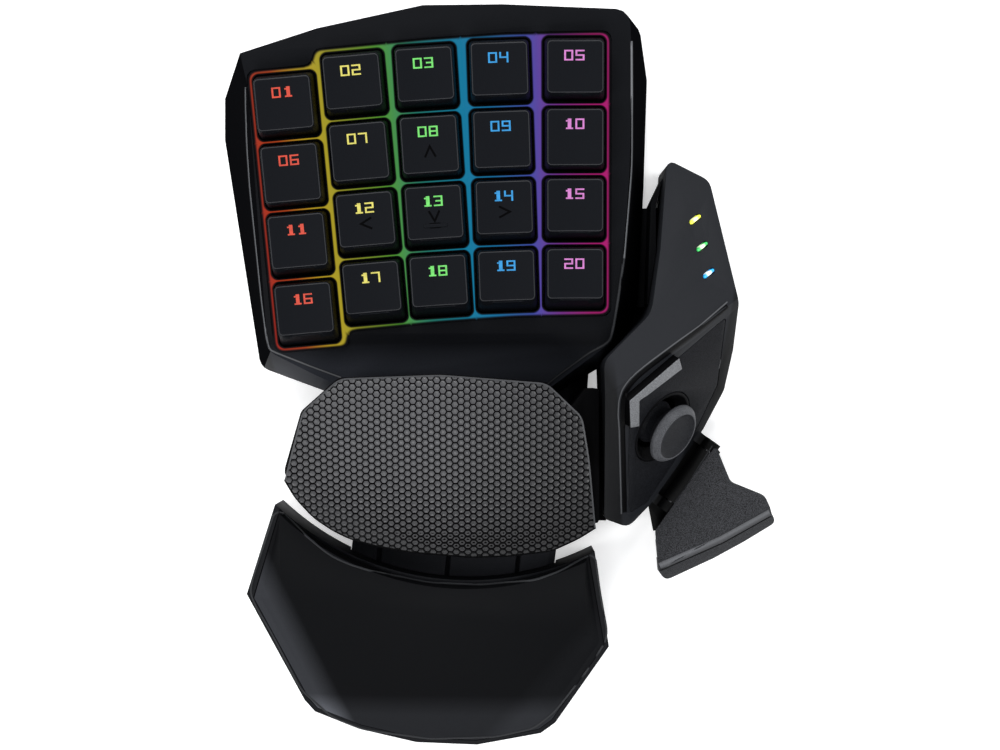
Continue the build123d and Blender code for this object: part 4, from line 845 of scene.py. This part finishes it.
def makeLitLayer():
    # Round each well, rings of points from its rim to the middle of the gap.
    bm = bmesh.new()
    ridge = bm.verts.layers.float.new("ridge")
    wells = [(column, row) for column in range(5) for row in range(4)]
    corner = litLayer["corner"]
    for column, row in wells:
        toDeck = deckMatrix().inverted() @ keyMatrix(column, row)
        near = [w for w in wells if w != (column, row) and abs(w[0] - column) < 2 and abs(w[1] - row) < 3]
        outline = roundedRing(*litLayer["well"], corner, litLayer["steps"], between=litLayer["between"])
        width, length = (side - 2 * corner for side in litLayer["well"])
        core = roundedRing(width, length, litLayer["point"], litLayer["steps"], between=litLayer["between"])
        rings = [[] for i in range(litLayer["across"] + 2)]
        values = [[] for i in rings]
        for point, inner in zip(outline, core):
            outward = Vector((point[0] - inner[0], point[1] - inner[1], 0)).normalized()
            start = toDeck @ (Vector((point[0], point[1], 0)) * mm) / mm
            along = (toDeck.to_3x3() @ outward).normalized()
            low, high = 0.0, litLayer["reach"]
            for i in range(litLayer["halvings"]):
                middle = (low + high) / 2
                spot = start + along * middle
                other = min(wellDistance(spot.x, spot.y, *w) for w in near)
                if other < middle or outlineDistance(spot.x, spot.y) < 0:
                    high = middle
                else:
                    low = middle
            for i in range(litLayer["across"] + 1):
                t = high * i / litLayer["across"]
                spot = start + along * t
                light = min((t - litLayer["start"]) / litLayer["full"],
                            (outlineDistance(spot.x, spot.y) - litLayer["margin"]) / litLayer["fade"])
                light = max(0.0, min(light, 1.0))
                light = light * light * (3 - 2 * light)
                rise = litLayer["top"] - litLayer["crown"] * (1 - light)
                spot = start + along * (t + (litLayer["lap"] if i == litLayer["across"] else 0))
                if i == 0:
                    rings[0].append((spot.x, spot.y, litLayer["bottom"]))
                    values[0].append(0.0)
                rings[i + 1].append((spot.x, spot.y, rise))
                values[i + 1].append(light)
        rows = skin(bm, [[Vector(p) * mm for p in ring] for ring in rings])
        for spots, levels in zip(rows, values):
            for vertex, level in zip(spots, levels):
                vertex[ridge] = level
    bm.transform(deckMatrix())
    return pieceFrom(bm, "lightGuide", smoothTo)


settle(makeLitLayer(), "light_guide", finish["rainbow"])
print("lit layer ready")


# Palm rest skin: a dark pad with raised, dished hexagons, set out by a node tree over the barrel of its top
honeycomb = {
    "column": 1.595, "row": 1.842, "cell": 0.97, "height": 0.56, "flank": 0.87, "dish": 0.42,
    "dishDepth": 0.10, "margin": 0.55, "turn": 1.9, "lift": -0.25, "moreAcross": 6, "moreAlong": 12}
palm = {
    "width": 84.4, "length": 49.2, "radius": 89.0, "crest": 53.5, "axisShare": 0.71, "sink": 0.46,
    "rimAbove": 28.0, "edge": 0.42, "middle": 0.001,
    # Front as seen in plan, further out than its node reaches
    "front": ((-57.5, -25.6), (-54.9, -30.5), (-50.1, -36.2), (-45.0, -39.9), (-40.5, -42.3), (-33.3, -44.4),
              (-24.1, -46.2), (-7.7, -47.7), (2.4, -47.4), (14.6, -45.9), (22.1, -42.2), (26.8, -39.0)),
    # Back of the pad, in shares of its width and length
    "back": ((0.476, 0.033), (0.452, 0.270), (0.338, 0.455), (0.004, 0.500), (-0.315, 0.480),
             (-0.434, 0.300))}
palmLip = {
    "round": 2.0, "depth": 9.0, "edge": 0.4, "low": 26.6, "tall": 6, "drop": 0.8, "cover": 0.5,
    "under": 1.7}


def treeWith(name, labels):
    # A node tree with a number for each label and a finish.
    tree = bpy.data.node_groups.new(name, "GeometryNodeTree")
    tree.interface.new_socket("Geometry", in_out="INPUT", socket_type="NodeSocketGeometry")
    for label in labels:
        tree.interface.new_socket(label, in_out="INPUT", socket_type="NodeSocketFloat")
    tree.interface.new_socket("Finish", in_out="INPUT", socket_type="NodeSocketMaterial")
    tree.interface.new_socket("Geometry", in_out="OUTPUT", socket_type="NodeSocketGeometry")
    return tree, addNode(tree, "NodeGroupInput").outputs, addNode(tree, "NodeGroupOutput").inputs


def applyTree(piece, tree, values):
    # Runs the tree on the piece and keeps the result as a plain mesh.
    modifier = piece.modifiers.new(tree.name, "NODES")
    modifier.node_group = tree
    for item in tree.interface.items_tree:
        if item.in_out == "INPUT" and item.name in values:
            modifier[item.identifier] = values[item.name]
    keepResult(piece)


def honeycombTree(labels):
    tree, given, result = treeWith("honeycombCells", labels)

    def calc(operation, *values):
        return mathNode(tree, operation, *values)

    def vector(x=0.0, y=0.0, z=0.0):
        return addNode(tree, "ShaderNodeCombineXYZ", {0: x, 1: y, 2: z}).outputs[0]

    def position():
        here = addNode(tree, "GeometryNodeInputPosition").outputs[0]
        return addNode(tree, "ShaderNodeSeparateXYZ", {0: here}).outputs

    # A grid of points a metre above the pad, every second column moved back by half a row
    pitches = (given["Column Pitch"], given["Row Pitch"])
    counts = [calc("ADD", calc("ROUND", calc("DIVIDE", given[span], pitch)), 1.0)
              for span, pitch in zip(("Span X", "Span Y"), pitches)]
    spans = [calc("MULTIPLY", calc("SUBTRACT", count, 1.0), pitch) for count, pitch in zip(counts, pitches)]
    grid = addNode(tree, "GeometryNodeMeshGrid", {0: spans[0], 1: spans[1], 2: counts[0], 3: counts[1]})
    fromLeft = calc("ADD", position()[0], calc("MULTIPLY", spans[0], 0.5))
    column = calc("ROUND", calc("DIVIDE", fromLeft, pitches[0]))
    stagger = calc("MULTIPLY", calc("MODULO", column, 2.0), calc("MULTIPLY", pitches[1], 0.5))
    offset = vector(given["Centre X"], calc("ADD", given["Centre Y"], stagger), 1.0)
    staggered = addNode(tree, "GeometryNodeSetPosition", {"Geometry": grid.outputs["Mesh"], "Offset": offset})

    # Points with the pad below them come down onto the barrel of its top
    ray = addNode(tree, "GeometryNodeRaycast", {
        "Target Geometry": given["Geometry"], "Ray Direction": (0, 0, -1), "Ray Length": 2.0})
    missed = addNode(tree, "FunctionNodeBooleanMath", {0: ray.outputs["Is Hit"]}, operation="NOT")
    kept = addNode(tree, "GeometryNodeDeleteGeometry", {
        "Geometry": staggered.outputs[0], "Selection": missed.outputs[0]}, domain="POINT")
    spot = position()
    radius = given["Barrel Radius"]
    slide = calc("SUBTRACT", spot[1], given["Axis Y"])
    rise = calc("SQRT", calc("SUBTRACT", calc("MULTIPLY", radius, radius), calc("MULTIPLY", slide, slide)))
    onBarrel = vector(spot[0], spot[1], calc("ADD", given["Axis Z"], rise))
    laid = addNode(tree, "GeometryNodeSetPosition", {"Geometry": kept.outputs[0], "Position": onBarrel})
    tilt = calc("MULTIPLY", calc("ARCSINE", calc("DIVIDE", slide, radius)), -1.0)
    crown = calc("MULTIPLY", calc("SUBTRACT", spot[0], given["Centre X"]), given["Crown Turn"])

    # A hexagon with sloping flanks and a dished face stands on each point
    cone = addNode(tree, "GeometryNodeMeshCone", {
        "Vertices": 6, "Radius Bottom": given["Cell Radius"], "Depth": given["Cell Height"],
        "Radius Top": calc("MULTIPLY", given["Cell Radius"], given["Flank"])}, fill_type="NGON")
    lip = addNode(tree, "GeometryNodeExtrudeMesh", {
        "Mesh": cone.outputs["Mesh"], "Selection": cone.outputs["Top"], "Offset Scale": 0.0}, mode="FACES")
    face = lip.outputs["Top"]
    dished = addNode(tree, "GeometryNodeScaleElements", {
        "Geometry": lip.outputs["Mesh"], "Selection": face, "Scale": given["Dish"]})
    sunk = addNode(tree, "GeometryNodeSetPosition", {
        "Geometry": dished.outputs[0], "Selection": face,
        "Offset": vector(z=calc("MULTIPLY", given["Dish Depth"], -1.0))})
    cells = addNode(tree, "GeometryNodeInstanceOnPoints", {
        "Points": laid.outputs[0], "Instance": sunk.outputs[0], "Rotation": vector(tilt, crown)})
    real = addNode(tree, "GeometryNodeRealizeInstances", {0: cells.outputs[0]})
    done = addNode(tree, "GeometryNodeSetMaterial", {
        "Geometry": real.outputs[0], "Material": given["Finish"]})
    tree.links.new(done.outputs[0], result[0])
    return tree


def makePalmLip(barrel):
    # The front edge of the palm rest, which carries the barrel of its top on outwards.
    path = tracePath(palm["front"], palmLip["round"], False)
    rings = []
    for i, spot in enumerate(path):
        along = (path[min(i + 1, len(path) - 1)] - path[max(i - 1, 0)]).normalized()
        inner, middle = (spot + Vector((-along.y, along.x)) * palmLip[depth] for depth in ("depth", "edge"))
        low = max(palmLip["low"], barrel(spot.y) - palmLip["tall"])
        rings.append([Vector(point) * mm for point in (
            (spot.x, spot.y, low), (spot.x, spot.y, barrel(spot.y) - palmLip["drop"]),
            (middle.x, middle.y, barrel(middle.y) - palmLip["cover"]),
            (inner.x, inner.y, barrel(inner.y) - palmLip["cover"]),
            (inner.x, inner.y, barrel(inner.y) - palmLip["under"]), (middle.x, middle.y, low))])
    bm = bmesh.new()
    skin(bm, rings, closeFirst=True, closeLast=True)
    dress(pieceFrom(bm, "palmLip", smoothTo, outward=True), "palm_rest_base", finish["groove"])


def trimCells(piece, outline):
    # Cuts the cells off along the rim of the pad and closes the cuts.
    bm = bmesh.new()
    bm.from_mesh(piece.data)
    for i, (ax, ay) in enumerate(outline):
        bx, by = outline[(i + 1) % len(outline)]
        cut = bmesh.ops.bisect_plane(bm, geom=bm.verts[:] + bm.edges[:] + bm.faces[:], dist=1e-7,
                                     plane_co=(ax * mm, ay * mm, 0), plane_no=(by - ay, ax - bx, 0),
                                     clear_outer=True)
        edges = [e for e in cut["geom_cut"] if isinstance(e, bmesh.types.BMEdge) and e.is_boundary]
        bmesh.ops.holes_fill(bm, edges=edges, sides=0)
    bm.to_mesh(piece.data)
    bm.free()


def makePalmSkin():
    padLow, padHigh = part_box("palm_rest_pad")
    pad = softCopy("palm_rest_pad", "palmSkin")
    for vertex in pad.data.vertices:
        vertex.co.z -= palm["sink"] * mm
    settle(pad, "palm_rest_pad", finish["groove"])
    centre = ((padLow.x + padHigh.x) / 2 / mm, (padLow.y + padHigh.y) / 2 / mm)
    back = [(centre[0] + (x - palm["middle"]) * palm["width"], centre[1] + y * palm["length"])
            for x, y in palm["back"]]
    outline = [*palm["front"], *back]
    wide = insetOutline(outline, -honeycomb["cell"])
    mesh = bpy.data.meshes.new("palmHoneycomb")
    mesh.from_pydata([(x * mm, y * mm, 0) for x, y in wide], [], [tuple(range(len(wide)))])
    cells = link(mesh, "palmHoneycomb")
    axisY = centre[1] + palm["axisShare"] * palm["length"]
    axisZ = palm["crest"] - palm["radius"]
    sizes = {
        "Column Pitch": honeycomb["column"] * mm, "Row Pitch": honeycomb["row"] * mm,
        "Cell Radius": honeycomb["cell"] * mm, "Cell Height": honeycomb["height"] * mm,
        "Flank": honeycomb["flank"], "Dish": honeycomb["dish"], "Dish Depth": honeycomb["dishDepth"] * mm,
        "Centre X": centre[0] * mm, "Centre Y": centre[1] * mm, "Crown Turn": honeycomb["turn"],
        "Span X": (palm["width"] + honeycomb["moreAcross"]) * mm,
        "Span Y": (palm["length"] + honeycomb["moreAlong"]) * mm,
        "Barrel Radius": (palm["radius"] + honeycomb["lift"] - honeycomb["height"] / 2) * mm,
        "Axis Y": axisY * mm, "Axis Z": axisZ * mm}
    applyTree(cells, honeycombTree(sizes), {**sizes, "Finish": finish["cell"]})
    trimCells(cells, insetOutline(outline, honeycomb["margin"]))
    dress(cells, "palm_rest_pad")
    print("honeycomb faces", len(cells.data.polygons))
    makePalmLip(lambda y: axisZ + math.sqrt(palm["radius"] ** 2 - (y - axisY) ** 2))
    edge = insetOutline(outline, palm["edge"])
    # A pale line just inside the pad's edge, a painted highlight along the palm rest's rim.
    surfaceLine("palmRim", ["palm_rest_base"], edge[-7:] + edge[:1], 0.42, "rim", (1, 1, 1), 2.0, sink=0.5)


makePalmSkin()


# Shells and modules as softened copies of their nodes
softPieces = [
    ("top_cover", "coverShell", "shell", 0.5), ("bottom_case", "caseShell", "base", 0.4),
    ("key_well_frame", "wellFrame", "frame", 0.0),
    ("rest_rail", "railBar", "rail", 0.4), ("palm_rest_base", "palmBody", "frame", 0.4),
    ("wrist_rest_shell", "wristBody", "wrist", 0.5),
    ("wrist_rest_pad", "wristSkin", "skin", 0.6), ("thumb_housing", "moduleShell", "module", 0.6),
    ("thumb_arm", "moduleArm", "base", 0.5), ("thumb_panel", "modulePanel", "panel", 0.3),
    ("corner_button", "cornerKey", "speckledPale", 0.35), ("stick_socket", "stickCup", "socket", 0.2),
    ("thumb_paddle", "paddleBlade", "speckled", 0.5)]
for node, name, look, width in softPieces:
    settle(softCopy(node, name, width), node, finish[look])

# The rim of the palm rest lies level with the sunk pad under the hexagons
for vertex in bpy.data.objects["palmBody"].data.vertices:
    if vertex.co.z > palm["rimAbove"] * mm:
        vertex.co.z -= palm["sink"] * mm
print("shells ready")

# Steep faces with another finish, painted shade: the button's walls are painted near-black, and the cover's
# sides take a darker finish with no gloss
panelPlane = {"origin": (45.9015, -11.758, 21.787), "x": (0.5519, 0.8339, 0), "y": (-0.4663, 0.3086, 0.829),
              "z": (0.6913, -0.4576, 0.5592)}
panelFrame = frameMatrix(**panelPlane)
steep = {"button": 0.45, "cover": 0.55}


def shadeFaces(name, look, chosen):
    piece = bpy.data.objects[name]
    piece.data.materials.append(finish[look])
    for face in piece.data.polygons:
        if chosen(face.normal):
            face.material_index = 1


panelUp = panelFrame.to_3x3() @ Vector((0, 0, 1))
shadeFaces("cornerKey", "frame", lambda normal: normal.dot(panelUp) < steep["button"])
shadeFaces("coverShell", "wall", lambda normal: abs(normal.x) > steep["cover"])


# Thumb stick: a knob with a pale rim, a painted highlight, and a hollow face, on a cone that spreads to the
# dome in the cup
stick = {
    "profile": ((0, 4.50), (2.5, 4.54), (4.6, 4.72), (6.0, 5.02), (6.70, 5.38), (6.88, 5.66), (7.10, 5.76),
                (7.40, 5.62), (8.35, 4.66), (8.66, 4.30), (8.75, 3.95), (8.75, 3.40), (8.62, 3.10),
                (7.60, 2.45), (7.00, 2.20), (6.30, 2.15), (5.75, 0.60), (5.50, -1.50), (5.62, -1.86),
                (6.05, -2.48), (6.48, -3.30), (5.48, -3.30), (4.90, -2.50), (2.50, -1.60), (2.50, -7.80),
                (0, -7.80)),
    "bands": ((1, 4, 10), (2, 15, 20)),  # number of the finish, first band, band after the last
    "pin": {"radius": 0.8, "half": 5.95, "level": -6.2, "sides": 16},
    "mark": ((5.60, -2.10), (4.55, -4.35), (6.05, -3.85)), "markLow": 4.4, "markHigh": 4.98}


def makeStick(settings):
    bm = bmesh.new()
    made = lathe(bm, settings["profile"], panelFrame)
    for number, first, after in settings["bands"]:
        for face in sum(made[first:after], []):
            face.material_index = number
    pin = settings["pin"]
    around = [(pin["radius"] * math.cos(a), pin["level"] - pin["radius"] * math.sin(a))
              for a in turns(pin["sides"])]
    skin(bm, [[panelFrame @ (Vector((x, y, z)) * mm) for x, z in around] for y in (-pin["half"], pin["half"])],
         closeFirst=True, closeLast=True)
    knob = pieceFrom(bm, "stickKnob", smoothTo, outward=True)
    settle(knob, "thumb_stick", finish["knob"], finish["knobRim"], finish["panel"])
    bm = bmesh.new()
    prismOn(bm, panelFrame, settings["mark"], settings["markLow"], settings["markHigh"])
    dress(pieceFrom(bm, "stickMark", outward=True), "thumb_stick", finish["sign"])


makeStick(stick)
print("thumb stick ready")


# Indicator windows: narrow rounded bars, white in the middle and coloured at their ends
windowBar = {
    "length": 4.1, "width": 0.82, "round": 0.49, "along": (0.6803, 0.5718, -0.4585),
    "up": (0.5063, 0.0856, 0.8581), "levels": ((0, -2.0), (0, 0.07), (0.05, 0.18), (0.16, 0.22)),
    "fadeFrom": 0.1, "fadeTo": 1.9, "white": 0.05, "coloured": 0.60, "strength": 1.0, "rough": 0.4}
windowLights = {
    "indicator_yellow": {"centre": (54.206, 45.39, 30.6502), "edge": (0.66, 0.70, 0.05),
                         "core": (1.0, 1.0, 0.55)},
    "indicator_green": {"centre": (56.144, 37.944, 30.2498), "edge": (0.03, 0.36, 0.08),
                        "core": (0.80, 1.0, 0.65)},
    "indicator_blue": {"centre": (57.98, 30.6, 29.8993), "edge": (0.01, 0.26, 0.60),
                       "core": (0.90, 1.0, 1.0)}}


def windowMaterial(name, light):
    material, tree, shader, place = startMaterial(name)
    shifted = vectorNode(tree, "SUBTRACT", place, tuple(Vector(light["centre"]) * mm)).outputs[0]
    span = vectorNode(tree, "DOT_PRODUCT", shifted, windowBar["along"]).outputs["Value"]
    share = rangeNode(tree, mathNode(tree, "ABSOLUTE", span), 0, 1, windowBar["fadeFrom"] * mm,
                      windowBar["fadeTo"] * mm)
    stops = [(windowBar["white"], light["core"]), (windowBar["coloured"], light["edge"])]
    tone = rampNode(tree, share, stops)
    feed(tree, shader, {
        "Base Color": tone, "Emission Color": tone, "Emission Strength": windowBar["strength"],
        "Roughness": windowBar["rough"]})
    return material


def makeWindow(node, light):
    along, up = Vector(windowBar["along"]), Vector(windowBar["up"])
    matrix = frameMatrix(light["centre"], along, up.cross(along), up)
    rings = []
    for inset, z in windowBar["levels"]:
        width, length = windowBar["length"] - 2 * inset, windowBar["width"] - 2 * inset
        rings.append([matrix @ (Vector((x, y, z)) * mm)
                      for x, y in roundedRing(width, length, length * windowBar["round"], 6)])
    bm = bmesh.new()
    skin(bm, rings, closeFirst=True, closeLast=True)
    piece = pieceFrom(bm, node.replace("indicator_", "Window"), smoothTo)
    settle(piece, node, windowMaterial(node.replace("indicator_", "glow"), light))


for node, light in windowLights.items():
    makeWindow(node, light)
print("windows ready")


# Dark plates, painted shade: they close the view to the floor between the case, the arm and the module
shadePlates = (
    {"name": "armPlate", "node": "thumb_base", "low": 0.25, "high": 1.2,
     "outline": ((35.4, 14.4), (41.6, 14.4), (43.0, 24.0), (37.6, 24.0))},
    {"name": "moduleLedge", "node": "thumb_base", "low": 1.6, "high": 3.6,
     "outline": ((24.6, -39.0), (31.0, -39.0), (30.6, -6.5), (29.2, -4.4), (26.2, -7.5))},
    {"name": "cornerPlate", "node": "bottom_case", "low": 4.0, "high": 7.4,
     "outline": ((19.5, -4.8), (25.2, -4.8), (25.9, 5.2), (19.5, 6.4))})
for plate in shadePlates:
    bm = bmesh.new()
    prismOn(bm, Matrix.Identity(4), plate["outline"], plate["low"], plate["high"])
    dress(pieceFrom(bm, plate["name"], outward=True), plate["node"], finish["frame"])


# Fine lines that follow the moulded edges and seams, drawn in plan: the pale ones are painted highlights, the
# black ones painted shade in grooves
fineLines = (
    {"name": "coverCrease", "targets": ["top_cover"], "width": 0.7, "look": "shine", "levels": (0, 1.6, 0),
     "radius": 2.0, "rise": 0.12,
     "points": ((-68.6, 81.0), (-68.8, 75.0), (-68.6, 64.4), (-68.05, 54.2), (-64.9, 23.3), (-63.2, 11.0),
                (-62.7, 9.6), (-61.3, 8.9), (-51.3, 4.9), (-43.5, 2.0))},
    {"name": "coverRight", "targets": ["top_cover"], "width": 0.8, "look": "shine", "levels": (0, 2.4, 0),
     "radius": 2.0, "rise": 0.12,
     "points": ((36.1, 93.0), (36.3, 74.7), (36.45, 64.1), (36.4, 59.6), (35.4, 46.7), (34.4, 34.6))},
    {"name": "coverFront", "targets": ["top_cover"], "width": 0.8, "look": "shine", "levels": (0, 0.5, 0),
     "radius": 2.0, "rise": 0.12,
     "points": ((34.4, 34.6), (32.8, 23.2), (31.7, 16.2), (30.75, 12.3), (29.1, 10.9), (25.2, 8.9),
                (17.2, 3.0), (12.0, -1.2))},
    {"name": "bezelLine", "targets": ["thumb_housing"], "width": 0.6, "look": "shine", "levels": (0, 1.3, 0),
     "points": ((63.3, 22.9), (55.2, 16.2), (48.3, 11.5), (40.7, 6.1), (37.0, 3.2), (35.0, 1.3), (33.3, -1.1),
                (32.45, -4.0), (32.4, -8.1), (32.9, -12.0), (33.7, -22.8), (34.7, -36.4))},
    # A black band along the groove between bezel and panel, its painted shade.
    {"name": "bezelGroove", "targets": ["thumb_housing", "thumb_panel"], "width": 1.3, "look": "frame",
     "levels": (1, 1, 1), "rise": 0.03,
     "points": ((63.4, 21.7), (55.3, 15.3), (48.4, 10.3), (41.0, 5.0), (37.5, 2.2), (35.6, 0.15),
                (34.2, -2.0), (33.6, -4.6), (33.6, -8.1), (34.0, -12.3), (34.8, -23.0), (35.7, -36.0))},
    {"name": "panelEdge", "targets": ["thumb_panel"], "width": 0.3, "look": "rimDark", "levels": (1, 1, 1),
     "radius": 0.8, "points": ((37.0, -36.4), (36.5, -33.0), (35.7, -20.0), (35.3, -11.9))},
    {"name": "panelTop", "targets": ["thumb_panel"], "width": 0.3, "look": "rim", "levels": (1, 1, 1),
     "radius": 0.8,
     "points": ((48.6, 9.0), (55.5, 14.2), (62.6, 19.6), (63.4, 19.2), (63.3, 12.5), (62.2, 4.5))},
    {"name": "wristRim", "targets": ["wrist_rest_pad", "wrist_rest_shell"], "width": 0.5, "look": "rimDark",
     "radius": 2.5, "closed": True, "rise": 0.10, "arch": 0.08, "slack": 2.0, "bead": True,
     "points": ((-62.17, -35.9), (-65.46, -45.32), (-68.58, -54.07), (-69.5, -58.3), (-67.8, -62.6),
                (-64.1, -69.3), (-55.81, -86.6), (-47.2, -94.6), (-38.36, -98.2), (-19.38, -100.9),
                (-0.87, -100.2), (10.17, -97.6), (16.04, -92.7), (24.71, -81.06), (30.2, -71.95),
                (30.5, -68.73), (28.44, -57.75), (27.07, -48.3), (25.78, -47.1), (24.36, -47.7),
                (17.15, -51.67), (9.95, -54.2), (-4.47, -55.8), (-18.98, -55.2), (-32.83, -52.4),
                (-41.47, -49.69), (-46.73, -47.15), (-53.76, -41.14), (-59.33, -35.75), (-60.7, -35.2))},
    {"name": "paddleCrease", "targets": ["thumb_paddle"], "width": 2.4, "look": "paddleShine",
     "levels": (0, 0.35, 1, 0.6), "rise": 0.10, "points": ((46.0, -51.75), (63.6, -43.9), (77.0, -36.4))},
    # A thin black line before the crease highlight, painted shade of a groove.
    {"name": "paddleSeam", "targets": ["thumb_paddle"], "width": 0.35, "look": "frame", "levels": (1, 1, 1),
     "rise": 0.12, "points": ((46.0, -52.85), (64.1, -45.0), (77.5, -37.4))},
    {"name": "paddleBack", "targets": ["thumb_paddle"], "width": 0.3, "look": "rimDark", "levels": (1, 1, 1),
     "rise": 0.02, "points": ((60.9, -17.4), (46.0, -40.6))})
for settings in fineLines:
    surfaceLine(**settings)
print("lines ready")

keptNodes = {
    "switch_plate": "plate", "circuit_board": "board", "switch_housings": "switch", "cable_gland": "rubber",
    "rubber_feet": "rubber", "case_screws": "steel", "rail_screws": "steel", "wrist_rest_feet": "rubber",
    "thumb_base": "base", "thumb_screws": "steel", "thumb_feet": "rubber", "thumb_circuit_board": "board",
    "button_switch": "switch", "stick_gimbal": "switch", "paddle_pin": "steel"}
for node, look in keptNodes.items():
    nodes[node].data.materials.clear()
    nodes[node].data.materials.append(finish[look])
print("kept nodes finished")
